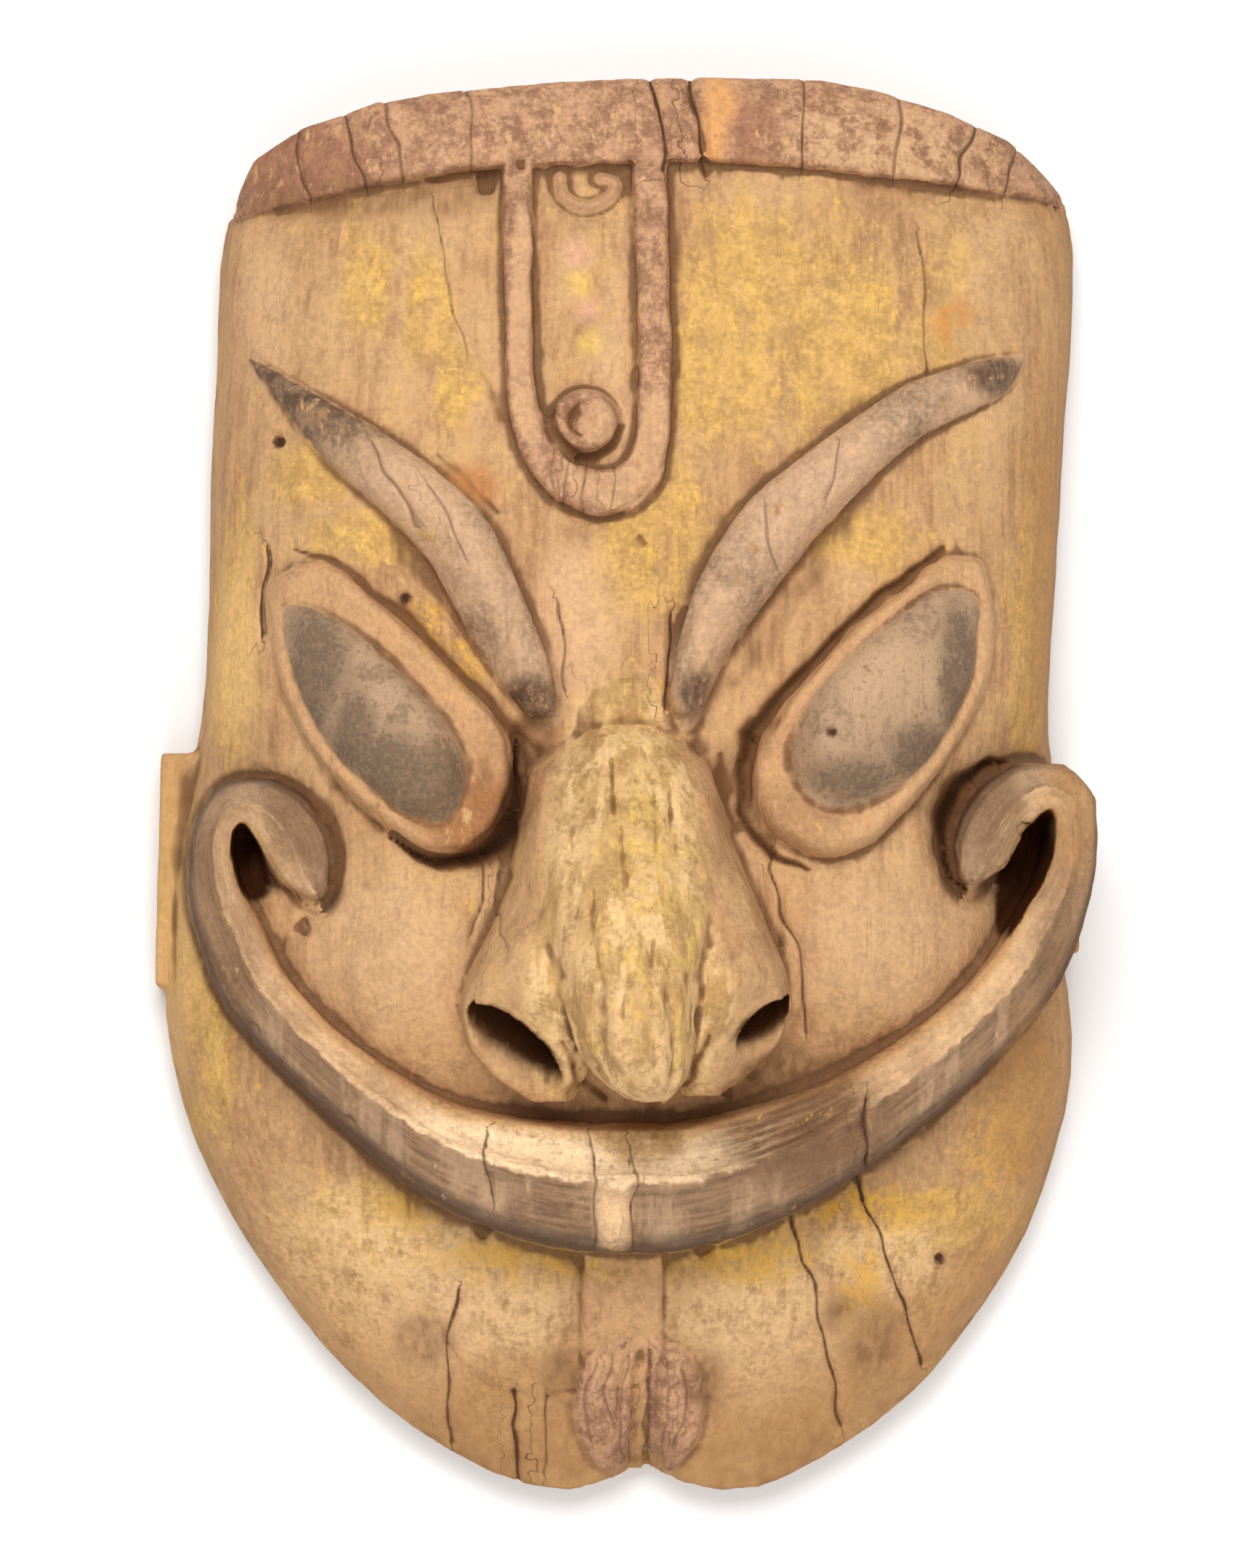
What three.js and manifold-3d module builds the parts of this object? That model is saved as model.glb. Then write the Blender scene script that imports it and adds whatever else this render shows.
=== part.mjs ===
// A ceremonial mask carved from one block of wood: a demon's face with slanting bulging eyes,
// sabre brows, a long flared nose and a moustache that curls up into a hook at each end.
// The back is hollowed out like a bowl, and the mask lies face up on the flat rim around the hollow.
//
// Millimetres. X runs to the right as one looks at the face, Y towards the crown and Z out of the
// face. The rim lies on Z = 0 and the origin is at the middle of the mask's outline.

import * as THREE from "three";
import { mergeVertices } from "three/addons/utils/BufferGeometryUtils.js";
import Module from "manifold-3d";

const wasm = await Module();
wasm.setup();

// Driving dimensions of the block
const EDGE_HEIGHT = 14; // thickness of the block where the face meets its outline
const FACE_HEIGHT = 70; // midline height between the eyes
const FACE_PEAK_Y = 20; // where the midline is highest
const CROWN_DROP = 20; // how far the midline has fallen at the crown
const CROWN_REACH = 160; // from the peak up to the crown
const CHIN_DROP = 52; // how far the midline has fallen at the chin
const CHIN_REACH = 200; // from the peak down to the chin
const CHIN_BEND = 2.2; // higher values keep the jaw full for longer
const SIDE_DROP = 8; // how far the face falls across half the width, before its edge rounds off
const HALF_WIDTH = 110;
const EDGE_ROUNDING = 45; // the face rounds down over this distance from its outline
const CROWN_CUT_Y = 152; // above this the outline is the sawn crown, and the face isn't rounded
const WALL = 15; // thickness of the wall at the rim
const FACE_WALL = 17; // thickness of the wood between the face and the hollow
const HOLLOW_ROUNDING = 48; // the hollow's ceiling rounds down over this distance from its wall
const SINK = 6; // how deep each raised form is rooted in the block

const CENTRE = [3, 0];

// The outline of the face seen from the front, counter-clockwise from the middle of the crown.
const OUTLINE = [
  [5, 179], [-10, 178.1], [-30, 176.4], [-43, 175.1], [-60.3, 172.9], [-73, 170.2], [-82.3, 166.8],
  [-93.7, 160], [-99.3, 150.5], [-102.4, 138], [-104, 111], [-105.5, 81], [-106, 51], [-107.5, 21],
  [-111, 0], [-113.5, -21], [-116.5, -46], [-116.6, -62], [-113.9, -74], [-111.2, -85], [-103.5, -103],
  [-92, -122], [-77, -142], [-62, -157], [-46.5, -168.6], [-31, -176.4], [-18, -180.2], [-8, -180],
  [-0.5, -177], [5.5, -173.5], [13, -177.5], [24, -180.5], [36, -180], [47, -175.5], [71, -160.5],
  [91.5, -138], [105.5, -115.5], [113.6, -93], [117.6, -77.5], [117.8, -58.5], [115.8, -44],
  [114.5, -28], [113.5, -11], [112.2, 13.5], [112.5, 29], [114.2, 59], [116.4, 94], [118.2, 115],
  [118.4, 138], [116.8, 149.8], [110, 157.7], [98.2, 164.6], [82.4, 170.6], [63, 176],
  [50.5, 178.6], [36, 179.8],
];

// Swellings and hollows of the face: [x, y, rise, spread]
const SWELLINGS = [
  [-57, -46, 9, 17], // cheeks
  [59, -44, 9, 17],
  [-27, 1, -12, 9], // pits beside the root of the nose
  [27, 4, -12, 9],
  [-37, 34, -4, 8], // valleys between brows and eyelids
  [-54, 54, -3, 8],
  [31, 34, -4, 8],
  [50, 55, -3, 8],
  [-94, -14, -12, 7], // beds under the hooks
  [101, -17, -12, 8],
  [82, -5, -5, 6],
  [-113, -16, 14, 13], // shoulders outside the hooks, above the ears
  [113, -16, 14, 13],
  [6, -174, -10, 4], // cleft of the chin
];

// Ear tabs: their height, and their corners counter-clockwise
const EAR_TAB_HEIGHT = 21;
const EAR_TABS = [
  [[-119.4, -51], [-98, -51], [-98, 9.5], [-118.2, 9.5]],
  [[99, -42], [119.4, -42], [119.4, 1], [99, 1]],
];

// The band along the crown: [x, lower y, upper y, rise over the face]
const CROWN_BAND = [
  [-99, 146.6, 150.4, 1], [-93.5, 146.8, 160.8, 3], [-82, 147.4, 167.6, 4.5], [-64, 151, 172.9, 5.5],
  [-45, 154.3, 175.6, 6], [-20, 156, 178, 6], [20, 157.4, 180.3, 6], [50, 156, 179.4, 6],
  [64, 154.2, 176.8, 6], [83, 152, 171.4, 5.5], [98, 151.3, 165.6, 4.5], [108, 151, 159.6, 3],
  [115.2, 150.6, 152.6, 1],
];

// Raised strips: [x, y, half width, height over the face]
const LEFT_BROW = [
  [-95, 108.5, 0.6, 1], [-82, 95.5, 4.2, 4], [-69, 84, 7, 7], [-54, 72, 8.3, 9], [-43, 60.5, 9.2, 10],
  [-35, 45, 8.5, 10], [-26.5, 28.5, 6.8, 9], [-21.5, 17, 3.8, 6],
];
const RIGHT_BROW = [
  [101.5, 109.5, 0.6, 1], [94.5, 104.5, 4.6, 4], [82.5, 99, 6.1, 6], [71.5, 94, 6.8, 8],
  [60.5, 86, 7.5, 9], [49.5, 76.5, 8.4, 10], [38, 66, 9.5, 10], [29, 54, 9.5, 10],
  [21.5, 41, 8, 10], [16.5, 29.5, 6.4, 9], [14.5, 17.5, 3.8, 6],
];
// From the tip of one hook through the middle to the tip of the other:
// [x, y, half width, height over the rim, fall from the ridge to the upper edge]
const MOUSTACHE = [
  [-77.6, -28.6, 1.5, 63, 1], [-78.6, -26, 5, 64, 1], [-80.6, -20.5, 8, 66, 1.5],
  [-84, -12.6, 8.8, 67.5, 1.5], [-90.5, -6, 7, 68, 1], [-98.5, -4.2, 5.4, 67.5, 1],
  [-104, -11.5, 4.9, 66.5, 1], [-103.4, -27.6, 6.6, 66, 1],
  [-99.2, -38.4, 7.6, 67, 1.5], [-94.4, -49.6, 8, 68, 2], [-80.8, -65.5, 7.8, 71, 3.5],
  [-59.2, -83.5, 9.4, 74.5, 6.5], [-46.6, -91.5, 11.2, 77, 8.5], [-30.5, -97.3, 13.2, 80, 10.5],
  [-12.7, -100.7, 14.4, 82, 11.5], [1.6, -101.2, 14.8, 82.5, 12], [16, -100.4, 14.3, 82, 11.5],
  [36, -94.2, 13, 79.5, 9.5], [52.6, -86.4, 11.4, 77, 7], [71, -74.6, 9.8, 74, 4.5],
  [87.6, -61, 8.8, 71, 2.5], [100.4, -46.8, 8.8, 69, 1.5], [106.4, -35.6, 8.2, 67, 1],
  [110.8, -25.6, 6.6, 66, 1], [113, -14.8, 5.8, 66, 1], [111.8, -3.4, 6, 68, 1],
  [103.8, 0.2, 6.9, 69, 1], [96.4, -4.2, 7.6, 69, 1], [91.6, -10.6, 8, 68, 1.5],
  [88.8, -17, 7.6, 67, 1.5], [86.8, -22.4, 5.2, 66, 1], [86, -25, 1.5, 65, 1],
];
const VALLEY = { depth: 7, spread: 15 }; // the face sinks towards the moustache on both sides
const MOUSTACHE_FLOOR = 12; // the strip is rooted no lower than this height over the rim
const MOUSTACHE_RIDGE = 0.3; // where the ridge lies, from the middle (0) to the upper edge (1)
const PENDANT_FRAME = [
  [-27.8, 156, 3.8, 5], [-27.4, 114, 3.8, 5], [-26.3, 94, 4.2, 5], [-22.3, 82.5, 4.8, 5],
  [-15, 74.8, 5.6, 5.5], [-5.7, 72.4, 6.2, 5.5], [1.8, 75.8, 5.6, 5.5], [5.6, 85, 4.6, 5.5],
  [6.7, 98, 4.4, 5], [6.5, 124, 4.6, 5], [5.8, 156, 4.8, 5],
];
const PENDANT_BOSS = { x: -11.3, y: 90.4, radius: 8.6, rise: 6.5 };
const CHIN_STRIP = [[-0.5, -112, 10, 2.5], [-0.5, -126, 10, 2.5], [-0.5, -143, 10, 2]];
const CHIN_TUFTS = [
  [[1, -142.5, 3, 2], [-3, -148, 6.6, 4], [-4.4, -158, 7.8, 5], [-3, -168, 6.4, 5], [0.4, -175.5, 3.2, 4]],
  [[8, -142.5, 3, 2], [12, -148, 6.4, 4], [13.6, -158, 7.6, 5], [12.8, -168, 6.2, 5], [11, -175, 3.2, 4]],
];

// Outlines of the eyelids and of the eyeballs that bulge out of them
const LEFT_LID = [
  [-88.4, 51.6], [-77.4, 55.6], [-66.5, 48.8], [-56.6, 40.7], [-47.8, 31.7], [-38.9, 22.7],
  [-31, 14.5], [-28, 5.2], [-28.7, -4], [-33, -12], [-38.6, -17.3], [-46, -19.1], [-53.7, -16.5],
  [-62.7, -9.7], [-71, -2], [-82.8, 15], [-88.7, 33.4],
];
const LEFT_EYE = [
  [-86, 44.5], [-76.3, 42.5], [-64, 34], [-53.7, 24], [-44.9, 14], [-40.8, 5], [-41.7, -3.7],
  [-47.2, -10], [-55.3, -8.4], [-63.2, -2.7], [-73, 6.3], [-81, 19.7], [-85.2, 32],
];
const RIGHT_LID = [
  [89.4, 57], [77.7, 57], [68, 49.3], [55.4, 38.3], [45.3, 28], [36.7, 18], [30.1, 6.6],
  [30.5, -2], [34.3, -11], [41, -16], [49.2, -18.4], [59.5, -15.5], [67, -9], [76.7, 1.2],
  [85.6, 14], [91, 25], [93.4, 37.7], [92.1, 50.3],
];
const RIGHT_EYE = [
  [87.7, 47.3], [88.2, 39], [87, 28], [82, 16.8], [74, 5], [65.3, -2], [56, -6], [46.6, -5.4],
  [40.6, 1.4], [40, 10.5], [45, 21.5], [54.6, 32], [67, 42.2], [79.3, 49],
];

// Ridge of the nose from its root to its tip: [x, y, half width, height over the rim, flare of its
// foot, undercut of its tip]
const NOSE_RIDGE = [
  [-1, 15, 10, 70, 0.2, 0], [-1, 11, 14.5, 77, 0.3, 0], [-2, 3, 20, 84, 0.4, 0],
  [-1.7, -9, 23.5, 92, 0.35, 0], [-2, -21, 25, 99.5, 0.3, 0], [-2.3, -36, 23.5, 107.5, 0.2, 0],
  [-2.1, -49, 19.5, 114, 0.1, 0.1], [-1.4, -60, 17, 118, 0, 0.3], [0, -68, 16, 117.5, 0, 0.5],
  [1.4, -73.5, 13.4, 115, 0, 0.6], [2.8, -77, 9.6, 111, 0, 0.7], [3.6, -79, 4.8, 106, 0, 0.7],
];
const NOSE_FLOOR = 48;
const NOSE_TIP_DEPTH = 16; // the undercut starts this far below the ridge
// Each nostril wing is a flaring tube, cut off on a slant: [x, y, z, radius X, radius Z]. A slanting
// oval is bored into it, given by its half axes. It narrows along its path to a sight hole that
// opens into the hollow: [x, y, z, share of the half axes]
const NOSTRIL_WINGS = [
  {
    flare: [
      [-12, 6, 66, 6, 8], [-15, -8, 67, 9.5, 12], [-17.5, -22, 69, 12, 17], [-20.2, -36, 72, 14.6, 21],
      [-23.6, -48, 76, 17.3, 22], [-25, -56, 77, 18, 20.5], [-25, -66, 75.5, 15.6, 16.5],
      [-22.4, -73, 73, 11.6, 13], [-19.4, -79, 70, 5.5, 8.5],
    ],
    cutAt: [-31, -60, 88],
    cutNormal: [-0.27, -0.6, 0.74],
    bore: {
      long: [11.5, -10.5, -4.4],
      short: [4.8, 3.5, 4.6],
      path: [
        [-31.5, -73.8, 89.4, 1.1], [-29.5, -66.3, 83.4, 1], [-26.9, -56.6, 75.6, 0.8],
        [-24.3, -48, 68, 0.45], [-23, -44, 38, 0.3],
      ],
    },
  },
  {
    flare: [
      [11.5, 6, 66, 6, 8], [14, -8, 67, 9.5, 12], [16.5, -22, 69, 12.5, 17], [19.5, -36, 72, 15, 21],
      [22, -47, 76, 17, 22], [23.3, -55, 77, 17, 20.5], [22.6, -65, 75.5, 14.4, 16.5],
      [20.2, -72, 73, 10.4, 13], [17.8, -78, 70, 5, 8.5],
    ],
    cutAt: [30, -58, 89],
    cutNormal: [0.4, -0.56, 0.73],
    bore: {
      long: [6.4, 6.4, 1.4],
      short: [-3.6, 2.7, 4],
      path: [
        [34.8, -68, 89.9, 1.1], [33, -61.5, 84.7, 1], [30.6, -52.5, 77.5, 0.8], [28.2, -45, 70, 0.55],
        [26, -42, 38, 0.45],
      ],
    },
  },
];

// Cross-sections, as [side, share of the height]; -1 is the root, sunk into the block.
const HALF_RIDGE = [[0.9, 0], [0.99, 0.3], [1, 0.52], [0.9, 0.72], [0.66, 0.88], [0.35, 0.975]];
const SLAB = [[-1, -1], [-1, 0.75], [-0.75, 1], [0.75, 1], [1, 0.75], [1, -1]];
const BROW_RIDGE = [[-1, -1], [-1, 0.3], [-0.6, 0.75], [-0.1, 1], [0.45, 0.9], [1, 0.45], [1, -1]];
const TUFT = [[-1, -1], [-1, 0.4], [-0.5, 0.9], [0, 1], [0.5, 0.9], [1, 0.4], [1, -1]];
const LIP = [
  [-1.25, -1], [-1, 0.95], [-0.8, 0.985], [MOUSTACHE_RIDGE, 1], [0.7, 0.998], [1, 0.985], [1.25, -1],
];

const OUTLINE_STEPS = 96;

function vector([x, y, z = 0]) {
  return new THREE.Vector3(x, y, z);
}

// Points at an even spacing along a smooth closed curve
function closedCurve(points, steps) {
  const curve = new THREE.CatmullRomCurve3(points.map(vector), true, "centripetal");
  return curve.getSpacedPoints(steps).slice(0, steps);
}

function openCurve(points, steps) {
  return new THREE.CatmullRomCurve3(points.map(vector), false, "centripetal").getSpacedPoints(steps);
}

const outline = closedCurve(OUTLINE, OUTLINE_STEPS);
const outlineEdges = outline.map((point, i) => [point, outline[(i + 1) % outline.length]]);
const roundedEdges = outlineEdges.filter(([a, b]) => a.y < CROWN_CUT_Y || b.y < CROWN_CUT_Y);
const moustacheLine = openCurve(MOUSTACHE.map(([x, y]) => [x, y]), 40);
const moustacheEdges = moustacheLine.slice(1).map((point, i) => [moustacheLine[i], point]);

// Distance in X and Y from a point of the face to the nearest of some edges
function distanceTo(edges, x, y) {
  const point = new THREE.Vector3(x, y, 0);
  const nearest = new THREE.Vector3();
  const line = new THREE.Line3();
  let least = Infinity;
  for (const [a, b] of edges) {
    line.set(a, b).closestPointToPoint(point, true, nearest);
    least = Math.min(least, nearest.distanceTo(point));
  }
  return least;
}

// Rounds over from 0 at an edge to 1 at full reach
function quarterRound(distance, reach) {
  const inward = THREE.MathUtils.clamp(distance / reach, 0, 1);
  return Math.sqrt(1 - (1 - inward) ** 2);
}

// Height of the midline over the rim
function midline(y) {
  return y > FACE_PEAK_Y
    ? FACE_HEIGHT - CROWN_DROP * ((y - FACE_PEAK_Y) / CROWN_REACH) ** 2
    : FACE_HEIGHT - CHIN_DROP * ((FACE_PEAK_Y - y) / CHIN_REACH) ** CHIN_BEND;
}

// Height of the face in its middle part, away from the rounding of its outline
function crest(x, y) {
  return midline(y) - SIDE_DROP * (x / HALF_WIDTH) ** 2;
}

// Height of the bare face over the rim, before brows, eyes, nose and moustache stand out of it
function face(x, y) {
  const round = quarterRound(distanceTo(roundedEdges, x, y), EDGE_ROUNDING);
  let z = EDGE_HEIGHT + (crest(x, y) - EDGE_HEIGHT) * round;
  for (const [cx, cy, rise, spread] of SWELLINGS) {
    z += rise * Math.exp(-((x - cx) ** 2 + (y - cy) ** 2) / (2 * spread ** 2));
  }
  z -= VALLEY.depth * Math.exp(-((distanceTo(moustacheEdges, x, y) / VALLEY.spread) ** 2));
  return Math.max(z, EDGE_HEIGHT / 2);
}

// A closed surface through a stack of loops with equal counts, ended by a point at each end
function loft(loops, first, last) {
  const count = loops[0].length;
  const points = [first, ...loops.flat(), last];
  const end = points.length - 1;
  const index = [];
  for (let j = 0; j < count; j += 1) {
    const next = (j + 1) % count;
    index.push(0, 1 + j, 1 + next);
    for (let i = 0; i + 1 < loops.length; i += 1) {
      const low = 1 + i * count;
      const high = low + count;
      index.push(low + j, high + j, high + next, low + j, high + next, low + next);
    }
    index.push(end, end - count + next, end - count + j);
  }
  return new THREE.BufferGeometry().setFromPoints(points).setIndex(index);
}

// The solid inside a closed geometry, whichever way round its faces were wound
function solidOf(geometry) {
  const bare = new THREE.BufferGeometry().setAttribute("position", geometry.getAttribute("position"));
  bare.setIndex(geometry.index);
  const merged = mergeVertices(bare, 1e-4);
  const vertProperties = merged.attributes.position.array;
  const triVerts = new Uint32Array(merged.index.array);
  const solid = new wasm.Manifold(new wasm.Mesh({ numProp: 3, vertProperties, triVerts }));
  if (solid.volume() > 0) return solid;
  const turned = triVerts.slice().reverse();
  return new wasm.Manifold(new wasm.Mesh({ numProp: 3, vertProperties, triVerts: turned }));
}

function middleOf(points) {
  const sum = points.reduce((total, point) => total.add(point), new THREE.Vector3());
  return sum.divideScalar(points.length);
}

// The block before hollowing: rings from the middle of the face out to its outline, then the side
function block() {
  const centre = vector(CENTRE);
  const shares = [0.13, 0.27, 0.4, 0.51, 0.61, 0.7, 0.78, 0.85, 0.91, 0.96, 1];
  const rings = shares.map((share) =>
    outline.map((edge) => {
      const point = centre.clone().lerp(edge, share);
      point.z = face(point.x, point.y);
      return point;
    }),
  );
  const rim = outline.map((edge) => centre.clone().lerp(edge, 0.985).setZ(0));
  const top = centre.clone().setZ(face(...CENTRE));
  return solidOf(loft([...rings, rim], top, centre.clone().setZ(0)));
}

// The hollow at the back, from below the rim up to its ceiling
function hollow() {
  const centre = vector(CENTRE);
  const inner = outline
    .filter((_, i) => i % 2 === 0)
    .map((edge) => {
      const arm = edge.clone().sub(centre);
      return arm.setLength(arm.length() - WALL - 1).add(centre);
    });
  const ceiling = (x, y) => {
    const round = quarterRound(distanceTo(outlineEdges, x, y) - WALL, HOLLOW_ROUNDING);
    return Math.max(crest(x, y) - FACE_WALL, 4) * round;
  };
  const shares = [0.15, 0.35, 0.52, 0.66, 0.78, 0.87, 0.94, 0.98, 1];
  const rings = shares.map((share) =>
    inner.map((edge) => {
      const point = centre.clone().lerp(edge, share);
      return point.setZ(ceiling(point.x, point.y));
    }),
  );
  const below = inner.map((edge) => edge.clone().setZ(-5));
  return solidOf(loft([...rings, below], centre.clone().setZ(ceiling(...CENTRE)), centre.clone().setZ(-5)));
}

// A raised strip along a curve. Its level says how high each point of the cross-section lies.
function strip(rows, steps, section, level = overFace) {
  const line = new THREE.CatmullRomCurve3(rows.map(([x, y]) => vector([x, y])), false, "centripetal");
  const sizes = new THREE.CatmullRomCurve3(rows.map((row) => vector(row.slice(2))), false, "centripetal");
  const loops = [];
  for (let i = 0; i <= steps; i += 1) {
    const t = line.getUtoTmapping(i / steps);
    const at = line.getPoint(t);
    const along = line.getTangent(t);
    const { x: halfWidth, y: height, z: fall } = sizes.getPoint(t);
    loops.push(
      section.map(([side, share]) => {
        const x = at.x - along.y * halfWidth * side;
        const y = at.y + along.x * halfWidth * side;
        return new THREE.Vector3(x, y, level(x, y, height, share, side, fall));
      }),
    );
  }
  return solidOf(loft(loops, middleOf(loops[0]), middleOf(loops[steps])));
}

function overFace(x, y, height, share) {
  return face(x, y) + (share < 0 ? -SINK : height * share);
}

// The moustache has a ridge along it, from which its upper side slopes back towards the nose
function overRim(x, y, height, share, side, fall) {
  if (share < 0) return Math.max(MOUSTACHE_FLOOR, face(x, y) - SINK);
  const slope = Math.max(0, side - MOUSTACHE_RIDGE) / (1 - MOUSTACHE_RIDGE);
  return height * share - fall * slope;
}

// A raised pad inside a closed outline: rings as [share of the outline, rise over the face]
function pad(points, rings, strength = () => 1) {
  const centre = middleOf(points);
  const place = (edge, share, rise) => {
    const point = centre.clone().lerp(edge, share);
    point.z = face(point.x, point.y) + rise * strength(point.x, point.y);
    return point;
  };
  const loops = rings.map(([share, rise]) => points.map((edge) => place(edge, share, rise)));
  const [, topRise] = rings[rings.length - 1];
  return solidOf(loft(loops, centre.clone().setZ(loops[0][0].z - 1), place(centre, 0, topRise)));
}

// The band along the crown, which stands a little proud of the face and of the sawn end
function crownBand() {
  const loops = CROWN_BAND.map(([x, low, high, rise]) => {
    const at = (share) => low + (high - low) * share;
    const level = (y) => Math.max(face(x, Math.min(y, 178)), EDGE_HEIGHT);
    const over = (y, lift) => new THREE.Vector3(x, y, level(y) + lift);
    return [
      over(low, -SINK), over(low, rise * 0.8), over(at(0.1), rise), over(at(0.55), rise),
      over(at(0.85), rise * 0.7), over(high, rise * 0.2), over(high, -12), over(at(0.5), -12),
    ];
  });
  return solidOf(loft(loops, middleOf(loops[0]), middleOf(loops[loops.length - 1])));
}

// An eye: a lid with a flat border, and the smooth ball inside it. It stands out more and more
// from its outer tip towards the nose.
function eye(lid, ball) {
  const [tipX] = ball[0];
  const strength = (x) => 0.55 + 0.6 * THREE.MathUtils.smoothstep(Math.abs(tipX - x), 0, 45);
  const lidRings = [[1, -SINK], [1, 3.5], [0.95, 6.5], [0.86, 8], [0.5, 8]];
  const ballRings = [[1, -2], [1, 7], [0.93, 10], [0.8, 13], [0.6, 15.5], [0.3, 17]];
  return pad(closedCurve(lid, 34), lidRings, strength).add(
    pad(closedCurve(ball, 30), ballRings, strength),
  );
}

// The ridge of the nose: rounded sections whose feet lean back under the tip
function noseRidge() {
  const section = [...HALF_RIDGE, [0, 1], ...HALF_RIDGE.map(([side, share]) => [-side, share]).reverse()];
  const loops = NOSE_RIDGE.map(([x, y, halfWidth, height, flare, undercut]) =>
    section.map(([side, share]) => {
      const z = NOSE_FLOOR + (height - NOSE_FLOOR) * share;
      const under = Math.max(0, height - NOSE_TIP_DEPTH - z);
      const spread = 1 + flare * (1 - share) ** 1.5;
      return new THREE.Vector3(x + halfWidth * side * spread, y + undercut * under, z);
    }),
  );
  return solidOf(loft(loops, middleOf(loops[0]), middleOf(loops[loops.length - 1])));
}

// A tube along Y with an oval section
function ovalTube(sections, sides) {
  const loops = sections.map(([x, y, z, radiusX, radiusZ]) =>
    Array.from({ length: sides }, (_, i) => {
      const angle = (2 * Math.PI * i) / sides;
      return new THREE.Vector3(x + radiusX * Math.cos(angle), y, z + radiusZ * Math.sin(angle));
    }),
  );
  return solidOf(loft(loops, middleOf(loops[0]), middleOf(loops[loops.length - 1])));
}

// An oval tunnel along a path, with all its sections parallel
function tunnel({ long, short, path }, sides) {
  const loops = path.map(([x, y, z, share]) =>
    Array.from({ length: sides }, (_, i) => {
      const angle = (2 * Math.PI * i) / sides;
      const along = vector(long).multiplyScalar(share * Math.cos(angle));
      const across = vector(short).multiplyScalar(share * Math.sin(angle));
      return new THREE.Vector3(x, y, z).add(along).add(across);
    }),
  );
  return solidOf(loft(loops, middleOf(loops[0]), middleOf(loops[loops.length - 1])));
}

// Everything in front of a slanting plane, as a large box to cut with
function cutter(at, normal) {
  const size = 60;
  const direction = vector(normal).normalize();
  const box = new THREE.BoxGeometry(size, size, size);
  box.translate(0, 0, size / 2);
  box.applyQuaternion(new THREE.Quaternion().setFromUnitVectors(new THREE.Vector3(0, 0, 1), direction));
  box.translate(...at);
  return solidOf(box);
}

function nostrilWing({ flare, cutAt, cutNormal }) {
  return ovalTube(flare, 18).subtract(cutter(cutAt, cutNormal));
}

function earTab(corners) {
  const bevel = 1.5;
  const centre = middleOf(corners.map(vector));
  const loop = (z, inset) =>
    corners.map((corner) => {
      const arm = vector(corner).sub(centre);
      return arm.setLength(arm.length() - inset).add(centre).setZ(z);
    });
  const top = EAR_TAB_HEIGHT;
  const loops = [loop(0, bevel), loop(bevel, 0), loop(top - bevel, 0), loop(top, bevel)];
  return solidOf(loft(loops, middleOf(loops[0]), middleOf(loops[3])));
}

function pendant() {
  const { x, y, radius, rise } = PENDANT_BOSS;
  const circle = new THREE.EllipseCurve(x, y, radius, radius).getPoints(18);
  const boss = circle.slice(1).map((point) => vector(point.toArray()));
  return strip(PENDANT_FRAME, 26, SLAB).add(
    pad(boss, [[1, -SINK], [1, rise * 0.5], [0.85, rise * 0.85], [0.5, rise]]),
  );
}

function chin() {
  const [left, right] = CHIN_TUFTS.map((tuft) => strip(tuft, 9, TUFT));
  return strip(CHIN_STRIP, 4, SLAB).add(left).add(right);
}

function carvedMask() {
  const raised = [
    crownBand(),
    pendant(),
    strip(LEFT_BROW, 18, BROW_RIDGE),
    strip([...RIGHT_BROW].reverse(), 20, BROW_RIDGE),
    eye(LEFT_LID, LEFT_EYE),
    eye(RIGHT_LID, RIGHT_EYE),
    noseRidge(),
    ...NOSTRIL_WINGS.map(nostrilWing),
    strip(MOUSTACHE, 56, LIP, overRim),
    chin(),
    ...EAR_TABS.map(earTab),
  ];
  const whole = raised.reduce((mask, form) => mask.add(form), block());
  const bored = NOSTRIL_WINGS.reduce((mask, { bore }) => mask.subtract(tunnel(bore, 14)), whole);
  return bored.subtract(hollow());
}

function geometryOf(solid) {
  const { vertProperties, triVerts } = solid.getMesh();
  const geometry = new THREE.BufferGeometry();
  geometry.setAttribute("position", new THREE.BufferAttribute(vertProperties, 3));
  geometry.setIndex(new THREE.BufferAttribute(triVerts, 1));
  geometry.computeVertexNormals();
  return geometry;
}

const weatheredWood = new THREE.MeshStandardMaterial({ color: 0xc79a62, roughness: 0.85, metalness: 0 });

const mask = new THREE.Mesh(geometryOf(carvedMask()), weatheredWood);
mask.name = "mask";

const root = new THREE.Group();
root.add(mask);

export default root;
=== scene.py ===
import itertools
import math

import bpy
import numpy as np
from mathutils import Matrix, Vector
from mathutils.bvhtree import BVHTree


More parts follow.
